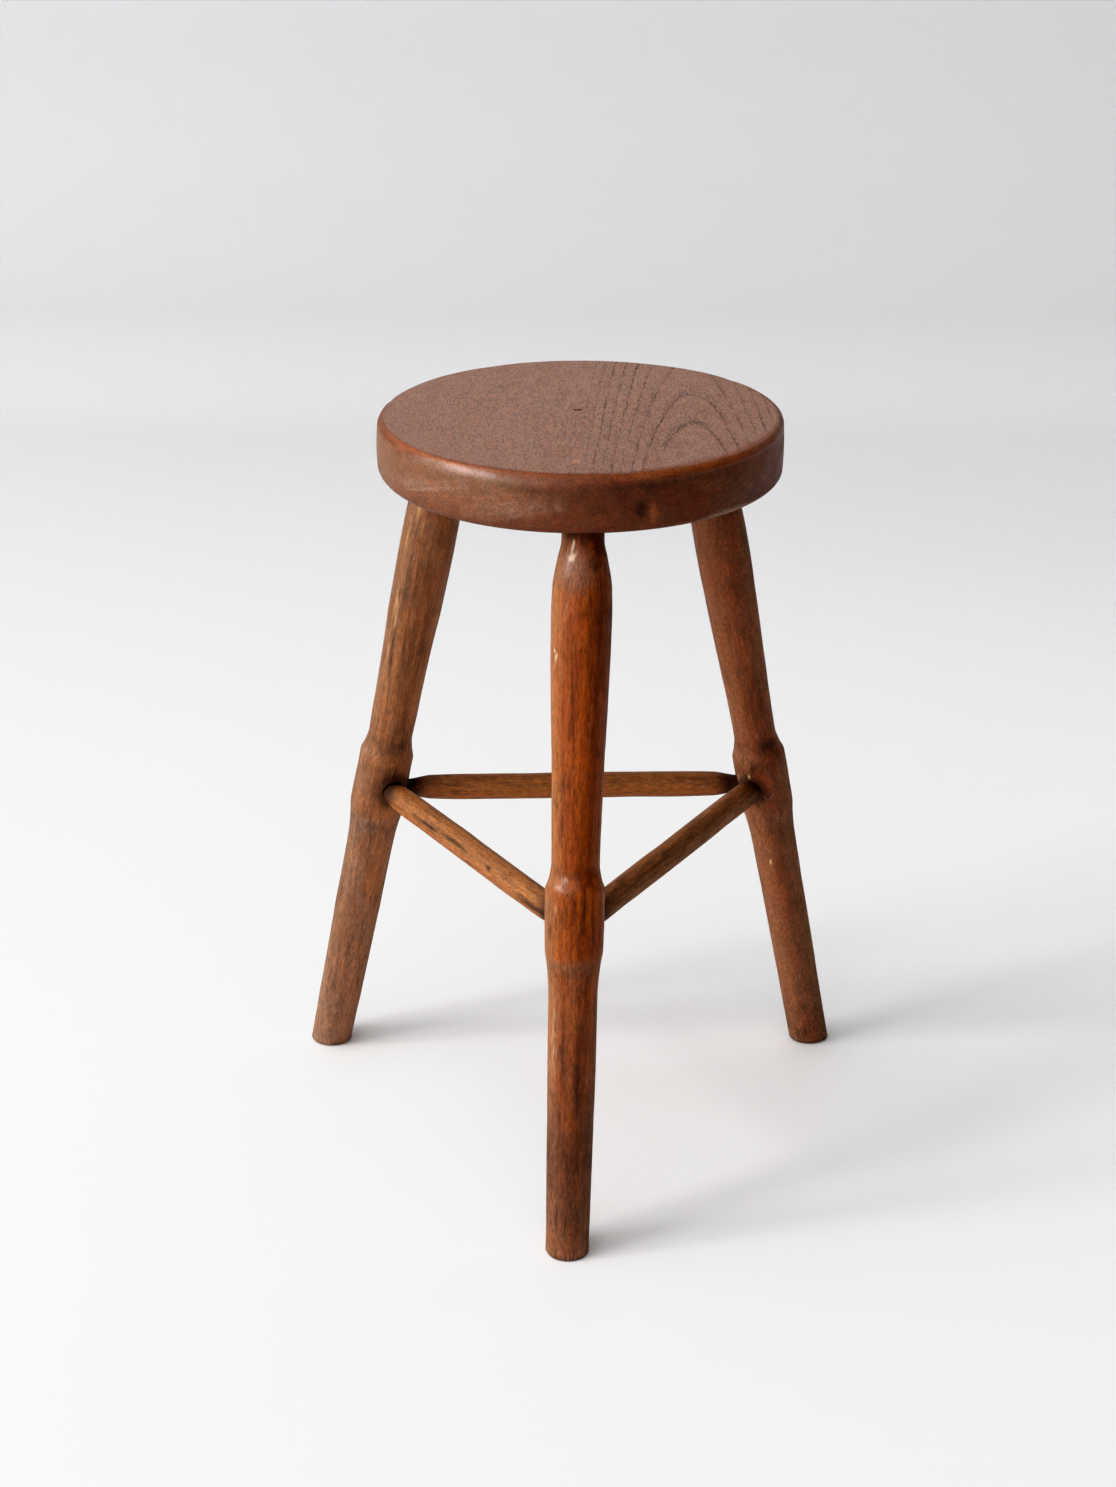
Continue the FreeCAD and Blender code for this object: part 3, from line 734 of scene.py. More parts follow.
stretcherFinish = {
    "rings": {"Drift Across": 0.03, "Drift Deep": 0.02, "Spacing": 0.0038},
    "fibre": {"Broad": 230.0, "Fine": 760.0, "Draw": 0.045, "Dash": 330.0},
    "stain": {"Blotch": 160.0, "Mottle Draw": 0.25, "Pit": 600.0},
    "wood": ((109, 61, 26), (146, 89, 43)),
    "layers": {
        "bands": ((128, 74, 35), 0.3), "patch": ((90, 57, 33), 0.45), "blotch": ((88, 59, 35), 0.4),
        "fibre": ((90, 54, 29), 0.5), "faded": ((175, 120, 71), 0.75), "rubbed": ((170, 102, 48), 0.5),
        "dull": ((121, 89, 67), 0.6), "dashes": ((54, 36, 20), 0.45), "grime": ((39, 24, 15), 0.8),
        "pores": ((47, 30, 19), 0.4), "pits": ((47, 30, 19), 0.3), "flecks": ((217, 173, 132), 0.2),
        "bare": ((217, 173, 132), 0.85)},
    "specks": ((0.34, 0.35, 0.36), (0.70, 0.68, 0.66), 0.8, 0.0),
    "shine": turnedShine, "relief": {**turnedRelief, "blotch": 0.08, "mottle": 0.05},
}
# Dents: part of the way along, angle round, then length, width and depth in millimetres.
leftStretcher = {
    "node": "left_stretcher", "from": "leftRearLeg", "to": "frontLeg", "lift": (-0.0004, 0.0003), "seed": 5,
    "ends": ({"tenon": 0.0150, "taper": 0.018, "hole": 0.0082, "holeUp": 0.0012},
             {"tenon": 0.0140, "taper": 0.022}),
    "dents": [(0.46, 62, 20, 1.8, 0.7), (0.29, 72, 20, 1.8, 0.8), (0.88, 92, 22, 2.6, 0.7),
              (0.64, 66, 4, 1.7, 1.1)],
    "grainShift": (0.03, 0.02, 1.1), "faded": 0.8, "seenSide": 1, "grime": 0.0,
}
rightStretcher = {
    "node": "right_stretcher", "from": "frontLeg", "to": "rightRearLeg", "lift": (-0.0002, 0.0022), "seed": 6,
    "ends": ({"tenon": 0.0142, "taper": 0.014}, {"tenon": 0.0140, "taper": 0.020}),
    "dents": [(0.55, -60, 30, 2.2, 0.5)],
    "grainShift": (-0.025, 0.03, 1.6), "faded": 0.45, "seenSide": -1, "grime": 0.0,
}
rearStretcher = {
    "node": "rear_stretcher", "from": "leftRearLeg", "to": "rightRearLeg", "seed": 7,
    "lift": (-0.0034, 0.0006),
    "ends": ({"tenon": 0.0118, "taper": 0.034}, {"tenon": 0.0124, "taper": 0.034}),
    "dents": [],
    # The 0.03 of darkening all over is painted shade under the seat.
    "grainShift": (0.02, -0.035, 2.2), "faded": 0.5, "seenSide": 1, "grime": 0.03,
}
stretchers = {"leftStretcher": leftStretcher, "rightStretcher": rightStretcher,
              "rearStretcher": rearStretcher}


# Where a stretcher's tenons stop, short of its legs' middle lines.
def stretcherLine(rung):
    height = rungTurning["height"]
    ends = [legJoint(legs[rung[end]], height + lift) for end, lift in zip(("from", "to"), rung["lift"])]
    way = (ends[1] - ends[0]) / np.linalg.norm(ends[1] - ends[0])
    return ends[0] + way * rungTurning["stopShort"], ends[1] - way * rungTurning["stopShort"], way


def stretcherFrame(rung):
    start, end, way = stretcherLine(rung)
    up = np.array([0, 0, 1.0]) - way * way[2]
    up /= np.linalg.norm(up)
    return start, end, way, up, np.cross(way, up)


def buildStretcher(name, rung):
    start, end, way, up, aside = stretcherFrame(rung)
    length = np.linalg.norm(end - start)
    full = rungTurning["diameter"]
    theta = ringAngles(rungTurning["around"])
    ways = np.cos(theta)[:, None] * up + np.sin(theta)[:, None] * aside

    def endStations(tenon):  # distance in from the end, and diameter
        hidden = rungTurning["hidden"]
        found = [(0.0, tenon["tenon"]), (hidden, tenon["tenon"] + rungTurning["tenonSwell"])]
        for part, share in rungTurning["drawnIn"]:
            found.append((hidden + tenon["taper"] * part, full * share))
        return found

    near, far = (endStations(tenon) for tenon in rung["ends"])
    middle = (length / 2, full + rungTurning["middleSwell"])
    radiusAt = turnedProfile([*near, middle, *((length - place, size) for place, size in reversed(far))])
    first, last, count = rungTurning["rows"]
    inner, innerCount = rungTurning["middleRows"]
    rows = []
    runs = [(first, last, count), (inner, length - inner, innerCount), (length - last, length - first, count)]
    for along in np.concatenate([np.linspace(*run) for run in runs]):
        eased = rungTurning["uneven"] * smooth(0.0, rungTurning["unevenFrom"], along)
        radius = radiusAt(along) + eased * unevenness(rung["seed"], theta, along * rungTurning["unevenRun"])
        for part, *dent in rung["dents"]:
            radius = radius - mm * blot(along / mm, theta, radius / mm, part * length / mm, *dent)
        rows.append(start + way * along + radius[:, None] * ways)
    tips = rungTurning["tipRows"]
    caps = [start + (rows[0] - rows[0].mean(0)) * part for part in tips]
    tails = [end + (rows[-1] - rows[-1].mean(0)) * part for part in reversed(tips)]
    return meshFromRings(name, np.array(caps + rows + tails), start, end)


def markStretcher(piece, rung):
    start, end, way, up, aside = stretcherFrame(rung)
    length = np.linalg.norm(end - start)
    along, x, y = ((pointsOf(piece) - start) @ line for line in (way, up, aside))
    turn = np.arctan2(y, x)
    degrees = np.degrees(turn)
    patchy = patches(rung["seed"], turn, along * rungWear["patchRun"])
    nearEnd = np.minimum(along, length - along)
    grime = rung["grime"] + ramp(nearEnd, *rungWear["joint"]) + ridge(degrees, *rungWear["topGrime"]) * patchy
    for part, angle, long, wide, deep in rung["dents"]:
        stain = (part * length / mm, angle, long, wide, rungWear["dent"])
        grime += blot(along / mm, turn, rungWear["radius"], *stain)
    rubbed = ridge(degrees, *rungWear["topRub"]) * smooth(*rungWear["topRubFrom"], nearEnd) * patchy
    seen = degrees * rung["seenSide"]
    rubbed += ridge(seen, *rungWear["sideRub"]) * smooth(*rungWear["sideRubFrom"], nearEnd)
    faded = rung["faded"] * smooth(*rungWear["fadedFrom"], nearEnd)
    storeMarks(piece, np.stack([x, y, along], 1) + np.array(rung["grainShift"]), rubbed=rubbed, faded=faded,
               grime=grime, bare=0 * along, dull=rungWear["dull"] * patchy, polish=0 * along,
               figure=1 + 0 * along)


# The seat: one turned board, flat on top, with an upper edge worn rounder at the left.
seat = {
    "middle": (0.0018, 0.0006), "top": 0.534, "thickness": 0.0386, "radius": 0.1404, "around": 320,
    "tilt": (0.0075, 0.0020),  # rise along X and along Y, the legs being a little uneven
    "topLean": -0.0105,        # the top was turned a little thinner at the back
    "grainTurn": 1.075,        # how far the board's grain leans from straight back
    "edge": [                  # angle, width and depth of the worn upper edge
        (-175, 0.0042, 0.0060), (-152, 0.0058, 0.0058), (-137, 0.0040, 0.0092), (-124, 0.0046, 0.0104),
        (-111, 0.0062, 0.0118), (-100, 0.0060, 0.0096), (-88, 0.0050, 0.0078), (-70, 0.0042, 0.0058),
        (-48, 0.0034, 0.0044), (-22, 0.0028, 0.0042), (25, 0.0036, 0.0050), (90, 0.0052, 0.0064),
        (140, 0.0046, 0.0060)],
    "edgeEased": (9, 7),       # each way over which one width runs into the next, and the steps taken
    "edgeWaves": ((0.00014, 3, 2), (0.0001, 8, 5), (0.0002, 12, 3)),  # height, seed, how fast they run round
    "arris": 0.0012, "arrisFrom": 60,
    "lowerRound": 0.0036, "lowerWorn": 0.0036, "lowerSide": -168, "lowerOver": 40.107,
    "coveDeep": 0.0002, "coveDrop": 0.0022, "coveTall": 0.0040, "coveSide": -70, "coveOver": 50,
    "dish": 0.0005, "outOfRound": 0.0005, "drawnIn": 0.6, "barrel": 0.0005, "topWave": (0.00015, 90, 3),
    "bulges": [(33, 36, 0.0002), (180, 30, -0.0006)],
    "underRows": (0.05, 1, 26), "lowerRows": 10, "rimRows": 26, "rollRows": 17, "arrisRows": 8,
    "topRows": ((0.995, 0.2, 56), (0.19, 0.03, 34)),
    "down": {"under": 4.0, "lower": 3.6, "rim": 2.4, "top": 12, "unit": 0.011},
    "dents": [                 # angle, part of the way down the edge, size and depth
        (-150.5, 0.75, 0.0060, 0.0016), (163.0, 0.10, 0.0035, 0.0014), (-74.2, 2.20, 0.0045, 0.0008),
        (-78.0, 0.05, 0.0120, 0.0008), (-104.0, 0.85, 0.0080, 0.0005), (38.0, 0.40, 0.0060, 0.0008),
        (117.0, 0.70, 0.0090, 0.0007)],
    "dentIn": (0.2, 0.9, 0.3), "dentDown": (0.6, 0.1, 0.7),  # share below a part of the edge, and above it
    "pricks": [(0.0003, 0.0135), (-0.0026, 0.0131)],  # left by the lathe's centre
    "prickDent": (0.0016, 0.0, 0.0011), "prickStain": (1.5, 0.0, 0.0016), "prickRub": (0.3, 0.0, 0.010),
    "paleSpot": {"x": -0.0043, "y": -0.1055, "wide": 0.0032, "long": 2.2, "worn": 0.8},
    "drillLead": 0.02, "mortiseSpare": 0.0004,
    "finish": {
        "rings": {"Pith Across": 0.0764, "Pith Deep": 0.0465, "Drift Across": 0.0062, "Drift Deep": 0.072,
                  "Spacing": 0.005135, "Shift": 0.000665, "Core": 0.0425, "Wobble": 0.0016, "Jag": 0.0019,
                  "Line Width": 0.075, "Tail Width": 0.4, "Dash Across": 1300.0, "Dash Along": 170.0,
                  "Fade Start": 0.070, "Fade End": 0.100, "Fade Rest": 0.05},
        "fibre": {"Broad": 75.0, "Fine": 420.0, "Draw": 0.12},
        "stain": {"Blotch": 120.0, "Mottle": 780.0, "Mottle Draw": 0.30, "Pit": 620.0},
        "wood": ((100, 52, 26), (123, 68, 35)),
        "layers": {
            "bands": ((82, 50, 33), 0.45), "patch": ((119, 53, 26), 0.55), "blotch": ((105, 72, 44), 0.5),
            "fibre": ((87, 48, 28), 0.25), "faded": ((133, 100, 74), 0.65), "rubbed": ((156, 93, 50), 0.7),
            "dull": ((157, 126, 111), 0.80), "grime": ((40, 15, 4), 0.8), "pores": ((46, 26, 19), 0.86),
            "pits": ((46, 26, 19), 0.25), "flecks": ((206, 154, 122), 0.15), "bare": ((206, 154, 122), 0.6)},
        "specks": ((0.28, 0.31, 0.34), (0.76, 0.69, 0.64), 0.6, 0.22),
        "marks": {"rubbed": {"Across": 85.0, "Along": 50.0, "Raggedness": 0.35},
                  "faded": {"Across": 110.0, "Along": 60.0, "Raggedness": 0.35}},
        "shine": {"clean": 0.36, "patch": 0.42, "coat": 1.0, "coatRough": 0.36, "specular": 0.4},
        "rougher": {"grime": 0.1, "dull": 0.06, "polish": -0.1},
        "relief": {"pores": -0.25, "fibre": 0.04, "blotch": 0.09, "mottle": 0.06, "pits": -0.2, "bare": -0.1},
    },
}
# Wear on the seat. Sides have a strength, an angle and a half-width. Belts round the rim have a strength,
# a depth below the top and a half-height, and bands have a side's angle and half-width as well. Torn patterns
# have a seed, and how fast they run round the rim and down it.
seatWear = {
    # The dull on the top is dust with painted sheen.
    "topDeep": 0.02, "rimFrom": (-0.0004, 0.0012), "dustTo": (-0.0015, 0.0006), "dustBack": 0.0090,
    "front": ((1.0, -54, 42), (0.5, -118, 26)), "lit": ((-84, -120), (110, 172)),
    "greyer": (0.22, -0.06, 0.10), "greyerLean": 0.6, "figure": 0.08,
    "arrisLine": (1.0, 0.0008, 0.0021), "arrisAll": 0.10, "arrisSides": ((0.9, -142, 30), (0.22, -70, 50)),
    "lip": (0.35, -0.004, 0.006), "rubbedBands": [(0.45, 0.005, 0.004, -152, 8)],
    "edgeBands": [(0.35, 0.45, 0.4, -60, 45)],      # painted light on the roll, which catches light from above; depths as a part of the worn edge's
    "tanBelt": (0.30, 0.020, 0.012), "tanTorn": ((4, 7, 240), (9, 13, -150)), "tanUnlit": 0.55,
    "swirl": [(1.4, 0.0275, 0.0060, -70.6, 0.8185)],
    "fadedFrom": (0.0015, 0.006), "faded": 0.95, "fadedLess": (0.45, 0.014, 0.034),
    # Painted shade: the rim's far side and its low unlit part are darker, and the underside is darker all
    # over.
    "farGrime": (0.22, 0.004, 0.012), "farSides": ((1.0, -25, 62), (0.7, 90, 60)),
    "lowGrime": (0.12, 0.022, 0.036), "underGrime": (0.35, 0.0380), "lowerLine": (0.25, 0.036, 0.003),
    "underEdge": [(0.30, 0.0024, 0.0034, -62, 42)],  # painted shade under the roll; depths below the worn edge
    "grimeBands": [(0.22, 0.0095, 0.0030, -106, 10), (0.30, 0.0060, 0.0035, -152, 7),
                   (0.18, 0.0060, 0.0035, -78, 12), (0.30, 0.018, 0.009, -74, 22)],
    "darkBelt": (0.75, 0.024, 0.010), "darkTorn": ((14, 11, 130), (2, 23, -260)),
    "knot": [(1.05, 0.0240, 0.0050, -74.2, 1.0641), (-1.2, 0.0275, 0.0060, -70.6, 0.8185)],
    "greyBelt": (0.95, 0.022, 0.011), "greyTorn": (6, 9, 190),
    # The second dull band is a painted reflection of the floor along the lower edge.
    "dullBands": [(0.32, 0.021, 0.009, -113, 16), (1.6, 0.0368, 0.0022, -45, 9)],
    "polishBelt": (1.1, 0.0050, 0.0036), "polishAll": 0.12, "polishSide": (-122, 18),
}


# Width and depth of the seat's worn upper edge at each angle round it.
def edgeAt(turn):
    angles, *sizes = zip(*seat["edge"])
    eased, steps = seat["edgeEased"]
    shifts = np.linspace(-eased, eased, steps)
    return [sum(np.interp(np.degrees(turn) + shift, angles, size, period=360) for shift in shifts) / steps
            for size in sizes]


def buildSeat():
    theta = ringAngles(seat["around"])
    rim = seat["radius"] + seat["outOfRound"] * (unevenness(5, theta) - seat["drawnIn"])
    for angle, over, out in seat["bulges"]:
        rim = rim + out * towards(theta, angle, over)
    edgeWide, edgeDeep = edgeAt(theta)
    for tall, seed, turns in seat["edgeWaves"]:
        edgeDeep = edgeDeep + tall * unevenness(seed, theta * turns)
    firm = math.radians(seat["arrisFrom"])  # the edge rolls up this far, then turns over a tight arris
    slope = np.arctan(edgeWide / edgeDeep * math.tan(firm) * math.sin(firm) / (1 - math.cos(firm)))
    rollWide = edgeWide - seat["arris"] * np.cos(slope)
    rollDeep = edgeDeep - seat["arris"] * (1 - np.sin(slope))
    hollow = seat["coveDeep"] * towards(theta, seat["coveSide"], seat["coveOver"])
    low = seat["lowerRound"] + seat["lowerWorn"] * towards(theta, seat["lowerSide"], seat["lowerOver"])
    under = seat["top"] - seat["thickness"]
    rimTop, rimLow = seat["top"] - edgeDeep, under + low
    downTo = seat["down"]
    rows = []

    def addRow(radius, height, down):  # down is 0 at the arris and 1 at the foot of the worn edge
        rows.append([value + 0 * theta for value in (radius, height, down)])

    for part in np.linspace(*seat["underRows"]):
        addRow(part * (rim - low), under, downTo["under"])
    for turn in np.radians(np.linspace(0, 90, seat["lowerRows"]))[1:]:
        addRow(rim - low + low * math.sin(turn), under + low * (1 - math.cos(turn)), downTo["lower"])
    for part in np.linspace(0, 1, seat["rimRows"])[1:]:
        height = rimLow + (rimTop - rimLow) * part
        cove = hollow * hump((rimTop - seat["coveDrop"] - height) / seat["coveTall"])
        addRow(rim + seat["barrel"] * math.sin(math.pi * part) - cove, height, 1 + downTo["rim"] * (1 - part))
    for turn in np.linspace(0, firm, seat["rollRows"])[1:]:
        inset = rollWide * (1 - math.cos(turn)) / (1 - math.cos(firm))
        rise = rollDeep * math.sin(turn) / math.sin(firm)
        addRow(rim - inset, rimTop + rise, 1 - rise / edgeDeep)
    for part in np.linspace(0, 1, seat["arrisRows"])[1:]:
        over = slope + (math.pi / 2 - slope) * part
        inset = rollWide + seat["arris"] * (np.cos(slope) - np.cos(over))
        rise = rollDeep + seat["arris"] * (np.sin(over) - np.sin(slope))
        addRow(rim - inset, rimTop + rise, 1 - rise / edgeDeep)
    for part in np.concatenate([np.linspace(*run) for run in seat["topRows"]]):
        addRow((rim - edgeWide) * part, seat["top"], (part - 1) * downTo["top"])
    radius, height, down = np.array(rows).transpose(1, 0, 2)
    turn = np.broadcast_to(theta, radius.shape)
    unit = downTo["unit"]
    for angle, part, wide, deep in seat["dents"]:  # pushed in towards the middle and down
        near = blot(down * unit, turn, radius, part * unit, angle, wide, wide, deep)
        inFrom, *inShares = seat["dentIn"]
        downFrom, *downShares = seat["dentDown"]
        radius = radius - near * np.where(down > inFrom, *inShares)
        height = height - near * np.where(down >= downFrom, *downShares)
    upper = down < 1
    height = height - upper * seat["dish"] * (1 - (radius / seat["radius"]) ** 2)
    waveTall, waveOut, waveRound = seat["topWave"]
    height = height + upper * waveTall * unevenness(2, radius * waveOut, turn * waveRound)
    x, y = radius * np.cos(turn), radius * np.sin(turn)
    for prickX, prickY in seat["pricks"]:
        height = height - (down < 0) * ridge(np.hypot(x - prickX, y - prickY), *seat["prickDent"])
    tiltX, tiltY = seat["tilt"]
    lean = tiltX * x + tiltY * y + seat["topLean"] * y * (height - under) / seat["thickness"]
    middleX, middleY = seat["middle"]
    rings = np.stack([x + middleX, y + middleY, height + lean], 2)
    piece = meshFromRings("turnedSeat", rings, [middleX, middleY, under],
                          [middleX, middleY, seat["top"] - seat["dish"]])
    hole = legRadius(legTurning["tenonEnd"][0]) + rungTurning["mortiseGap"]
    holes = []
    for leg in legs.values():
        foot, top, axis = legLine(leg)[:3]
        deepest = top + axis * (legStance["tenonDeep"] + seat["mortiseSpare"])
        holes.append((top - axis * seat["drillLead"], deepest, hole))
    cutMortises(piece, holes)
    return piece


def markSeat(piece):
    wear = seatWear
    x, y, z = (pointsOf(piece) - np.array([*seat["middle"], seat["top"]])).T
    away, turn = np.hypot(x, y), np.arctan2(y, x)
    raised = z + seat["thickness"] - seat["tilt"][0] * x - seat["tilt"][1] * y
    deep = seat["thickness"] - raised / (1 + seat["topLean"] * y / seat["thickness"])
    lean = math.radians(seat["grainTurn"])
    across = x * math.cos(lean) - y * math.sin(lean)
    along = x * math.sin(lean) + y * math.cos(lean)
    edgeWide, edgeDeep = edgeAt(turn)
    past = away - seat["radius"] + edgeWide  # how far out past the arris
    high = deep < wear["topDeep"]
    outside = smooth(*wear["rimFrom"], past)

    def sides(rows):
        return [strength * towards(turn, angle, wide) for strength, angle, wide in rows]

    def belt(strength, place, tall):
        return ridge(deep, strength, place, tall) * outside

    def bands(label, down=deep, on=outside):
        return on * sum(ridge(down, *row[:3]) * towards(turn, *row[3:]) for row in wear[label])

    def torn(seed, turns, drops):
        return np.maximum(0, unevenness(seed, turn * turns, deep * drops))

    front = np.maximum(*sides(wear["front"]))
    dustFrom, dustTo = wear["dustTo"]
    onTop = (1 - smooth(dustFrom - wear["dustBack"] * front, dustTo, past)) * high
    greyer = 1 - ramp(x - wear["greyerLean"] * y, *wear["greyer"])  # the left of the top is the greyer
    degrees = np.degrees(turn)
    litFront, litBack = wear["lit"]  # the side towards the windows: faded most, and painted lighter than the shaded far side
    lit = np.where(degrees < 0, smooth(*litFront, degrees), smooth(*litBack, degrees))

    rubbed = ridge(past, *wear["arrisLine"]) * (wear["arrisAll"] + sum(sides(wear["arrisSides"])))
    rubbed = (rubbed + ridge(past, *wear["lip"]) * front) * high
    # The roll at the front right is painted lighter, as it catches light from above.
    rubbed += bands("rubbedBands") + bands("edgeBands", deep / edgeDeep) + bands("swirl", on=1)
    tan = sum(torn(*pattern) for pattern in wear["tanTorn"])
    rubbed += belt(*wear["tanBelt"]) * tan * atLeast(wear["tanUnlit"], lit)

    # Faded, and painted lighter, on the side towards the windows.
    faded = outside * smooth(*wear["fadedFrom"], deep) * lit
    faded *= wear["faded"] - ramp(deep, *wear["fadedLess"])

    # Painted shade: the rim is darker on its far side from the windows, and low down on its unlit side.
    grime = ramp(deep, *wear["farGrime"]) * sum(sides(wear["farSides"]))
    grime = outside * (grime + ramp(deep, *wear["lowGrime"]) * (1 - lit))
    # The whole underside is darker.
    underDark, underFrom = wear["underGrime"]
    grime += underDark * (deep > underFrom) + ridge(deep, *wear["lowerLine"]) * lit
    # The band under the roll of the worn edge is painted shade.
    grime += bands("grimeBands") + bands("underEdge", deep - edgeDeep) + bands("knot", on=1)
    grime += belt(*wear["darkBelt"]) * math.prod(torn(*pattern) for pattern in wear["darkTorn"]) * lit

    dusty = 1 + 0 * away
    for prickX, prickY in seat["pricks"]:
        off = np.hypot(x - prickX, y - prickY)
        worn = ridge(off, *seat["prickRub"])
        grime += ridge(off, *seat["prickStain"]) * high
        rubbed += worn * high
        dusty = np.minimum(dusty, 1 - worn)
    # Dull on the top is dust with painted sheen.
    dull = onTop * greyer * dusty + bands("dullBands")
    dull += belt(*wear["greyBelt"]) * torn(*wear["greyTorn"]) * lit
    pale = seat["paleSpot"]
    spot = np.hypot(x - pale["x"], (y - pale["y"]) / pale["long"]) / pale["wide"]
    polish = belt(*wear["polishBelt"]) * atLeast(wear["polishAll"], towards(turn, *wear["polishSide"]))
    storeMarks(piece, np.stack([across, -deep, along], 1), rubbed=rubbed, faded=faded, grime=grime,
               bare=pale["worn"] * hump(spot) * high, dull=dull, polish=polish,
               figure=atLeast(wear["figure"], onTop))


def fitPiece(piece, node, material):
    piece.data.polygons.foreach_set("use_smooth", [True] * len(piece.data.polygons))
    piece.data.set_sharp_from_angle(angle=math.radians(meshing["sharpEdge"]))
    piece.data.materials.clear()
    piece.data.materials.append(material)
    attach(piece, "root")
    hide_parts(node)


seatPiece = buildSeat()
markSeat(seatPiece)
fitPiece(seatPiece, "seat", woodFinish("seatWood", seat["finish"]))
print("seat made,", len(seatPiece.data.polygons), "faces")

for name, leg in legs.items():
    legPiece = buildLeg(name, leg)
    cutMortises(legPiece, legHoles(name))
    markLeg(name, legPiece, leg)
    fitPiece(legPiece, leg["node"], woodFinish(name + "Wood", leg["finish"]))
    print(name, "made,", len(legPiece.data.polygons), "faces")

stretcherWood = woodFinish("stretcherWood", stretcherFinish)
for name, rung in stretchers.items():
    rungPiece = buildStretcher(name, rung)
    markStretcher(rungPiece, rung)
    fitPiece(rungPiece, rung["node"], stretcherWood)
    print(name, "made,", len(rungPiece.data.polygons), "faces")

# A pale sweep: the floor runs back into a wall. It is clear from behind, so that it never hides the stool.
room = {
    "left": -5.0, "right": 5.0, "front": -6.0, "wall": 2.05, "cove": 0.40, "coveRows": 17, "high": 4.0,
    # Painted shade: the floor darkens towards the wall, and the wall is darker low in the cove.
    "floor": -0.0004, "floorRows": (-1.0, 1.0), "paint": (238, 238, 238), "deepens": (0.2, 1.75),
    "wallPaint": [(0.0, (222, 222, 223)), (0.08, (211, 211, 212)), (0.20, (212, 212, 213)),
                  (0.40, (217, 217, 218))],  # by height, darker low down as painted shade
    "roughness": 0.55, "specular": 0.25,
}


def buildRoom():
    line = [(y, 0.0) for y in (room["front"], *room["floorRows"])]
    for turn in np.radians(np.linspace(0, 90, room["coveRows"])):
        line.append((room["wall"] - room["cove"] * (1 - math.sin(turn)), room["cove"] * (1 - math.cos(turn))))
    line.append((room["wall"], room["high"]))
    points, faces = [], []
    for i, (y, z) in enumerate(line):
        points += [(room["left"], y, z + room["floor"]), (room["right"], y, z + room["floor"])]
        if i:
            faces.append((2 * i - 2, 2 * i - 1, 2 * i + 1, 2 * i))
    mesh = bpy.data.meshes.new("paleSweep")
    mesh.from_pydata(points, [], faces)
    mesh.polygons.foreach_set("use_smooth", [True] * len(faces))
    mesh.update()
    sweep = bpy.data.objects.new("paleSweep", mesh)
    scene.collection.objects.link(sweep)
    material = bpy.data.materials.new("palePaint")
    material.use_nodes = True
    tree = material.node_tree
    shader = tree.nodes["Principled BSDF"]
    place = put(tree, "ShaderNodeNewGeometry").outputs
    deep, high = put(tree, "ShaderNodeSeparateXYZ", {0: place["Position"]}).outputs[1:]
    paints = put(tree, "ShaderNodeValToRGB", {0: calc(tree, "DIVIDE", high, room["cove"])})
    stops = paints.color_ramp.elements
    while len(stops) < len(room["wallPaint"]):
        stops.new(0.5)
    for stop, (height, paint) in zip(stops, room["wallPaint"]):
        stop.position = height / room["cove"]
        stop.color = fromSrgb(*paint)
    shade = blend(tree, spread(tree, deep, *room["deepens"]), fromSrgb(*room["paint"]), paints.outputs[0])
    feed(tree, shader, {"Base Color": shade, "Roughness": room["roughness"],
                        "Specular IOR Level": room["specular"]})
    clear = put(tree, "ShaderNodeBsdfTransparent").outputs[0]
    mixed = put(tree, "ShaderNodeMixShader", {0: place["Backfacing"], 1: shader.outputs[0], 2: clear})
    feed(tree, tree.nodes["Material Output"], {"Surface": mixed.outputs[0]})
    mesh.materials.append(material)


# Soft light: two tall windows and a pale card to the left, in a room that is palest there and dim opposite.
light = {
    "nearWindow": {"from": -62, "high": 35, "size": (0.6, 1.6), "watts": 26, "aimHigh": 0.3},
    "farWindow": {"from": -78, "high": 33, "size": (0.6, 1.6), "watts": 26, "aimHigh": 0.3},
    "paleCard": {"from": -88, "high": 34, "size": (1.0, 1.4), "watts": 36, "aimHigh": 0.4},
    "away": 3.4, "sky": (-0.74, -0.42, 0.53), "brightest": 1.56, "dimmest": 0.12, "seen": 0.80,
}


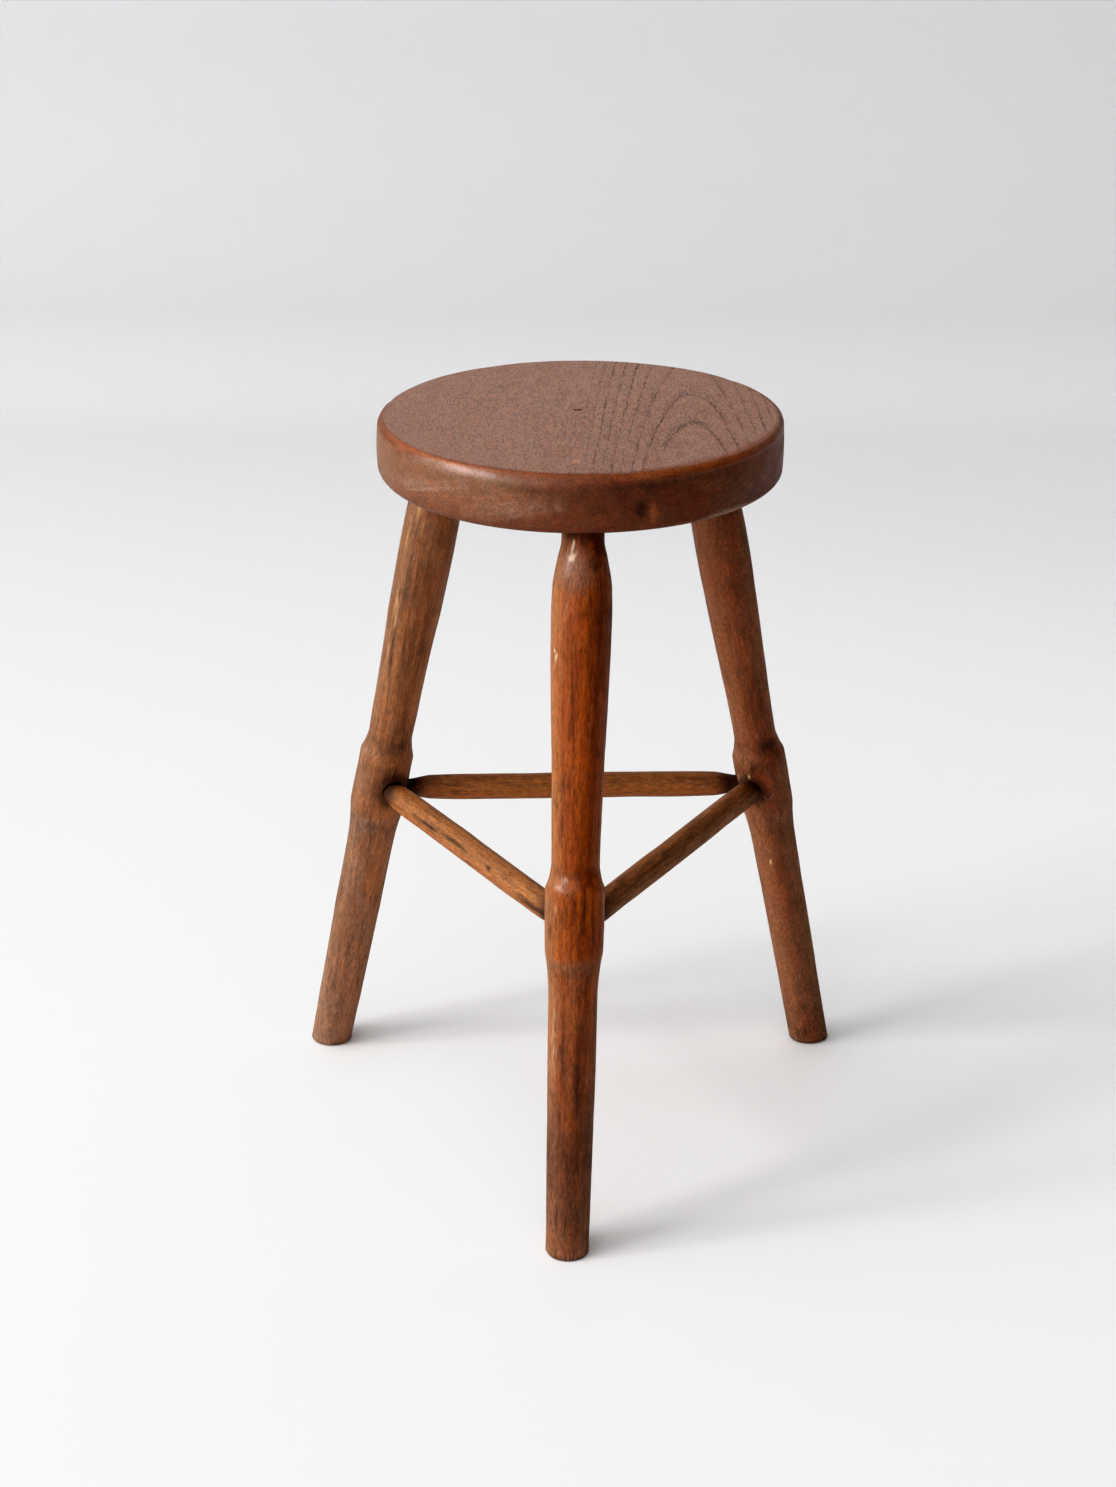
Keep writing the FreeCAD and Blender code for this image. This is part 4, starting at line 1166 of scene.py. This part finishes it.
def hangLamp(name):
    panel = light[name]
    lamp = bpy.data.lights.new(name, "AREA")
    lamp.shape = "RECTANGLE"
    lamp.size, lamp.size_y = panel["size"]
    lamp.energy = panel["watts"]
    hung = bpy.data.objects.new(name, lamp)
    scene.collection.objects.link(hung)
    side, high = math.radians(panel["from"]), math.radians(panel["high"])
    way = Vector((math.sin(side) * math.cos(high), -math.cos(side) * math.cos(high), math.sin(high)))
    hung.location = Vector((0, 0, panel["aimHigh"])) + way * light["away"]
    hung.rotation_euler = way.to_track_quat("Z", "Y").to_euler()
    hung.visible_camera = False
    return hung


def buildLight():
    hangLamp("nearWindow")
    hangLamp("farWindow")
    hangLamp("paleCard").visible_diffuse = False  # it only shines on the gloss
    world = bpy.data.worlds.new("paleRoom")
    scene.world = world
    world.use_nodes = True
    tree = world.node_tree
    way = put(tree, "ShaderNodeTexCoord").outputs["Generated"]
    toward = put(tree, "ShaderNodeVectorMath", {0: way, 1: light["sky"]}, operation="DOT_PRODUCT")
    glow = spread(tree, toward.outputs["Value"], 0.0, 1.0, light["dimmest"], light["brightest"])
    looked = put(tree, "ShaderNodeLightPath").outputs["Is Camera Ray"]
    shown = put(tree, "ShaderNodeMix", {0: looked, 2: glow, 3: light["seen"]}).outputs[0]
    feed(tree, tree.nodes["Background"], {"Color": (1.0, 1.0, 1.0, 1.0), "Strength": shown})


# The photograph's view, with the long side of the sensor in millimetres.
camera = {"place": (-0.0371, -2.3082, 1.2481), "yaw": 0.627, "pitch": 22.556, "roll": 0.429, "lens": 84.75,
          "sensor": 36}


def buildCamera():
    yaw, pitch, roll = (math.radians(camera[key]) for key in ("yaw", "pitch", "roll"))
    ahead = Vector((math.sin(yaw) * math.cos(pitch), math.cos(yaw) * math.cos(pitch), -math.sin(pitch)))
    level = Vector((math.cos(yaw), -math.sin(yaw), 0))
    upward = level.cross(ahead)
    across = level * math.cos(roll) + upward * math.sin(roll)
    lifted = upward * math.cos(roll) - level * math.sin(roll)
    data = bpy.data.cameras.new("stoolCamera")
    data.sensor_width = camera["sensor"]
    data.lens = camera["lens"]
    view = bpy.data.objects.new("stoolCamera", data)
    facing = Matrix((across, lifted, -ahead)).transposed().to_4x4()
    view.matrix_world = Matrix.Translation(camera["place"]) @ facing
    scene.collection.objects.link(view)
    scene.camera = view


buildRoom()
buildLight()
buildCamera()
print("room, light and camera made")
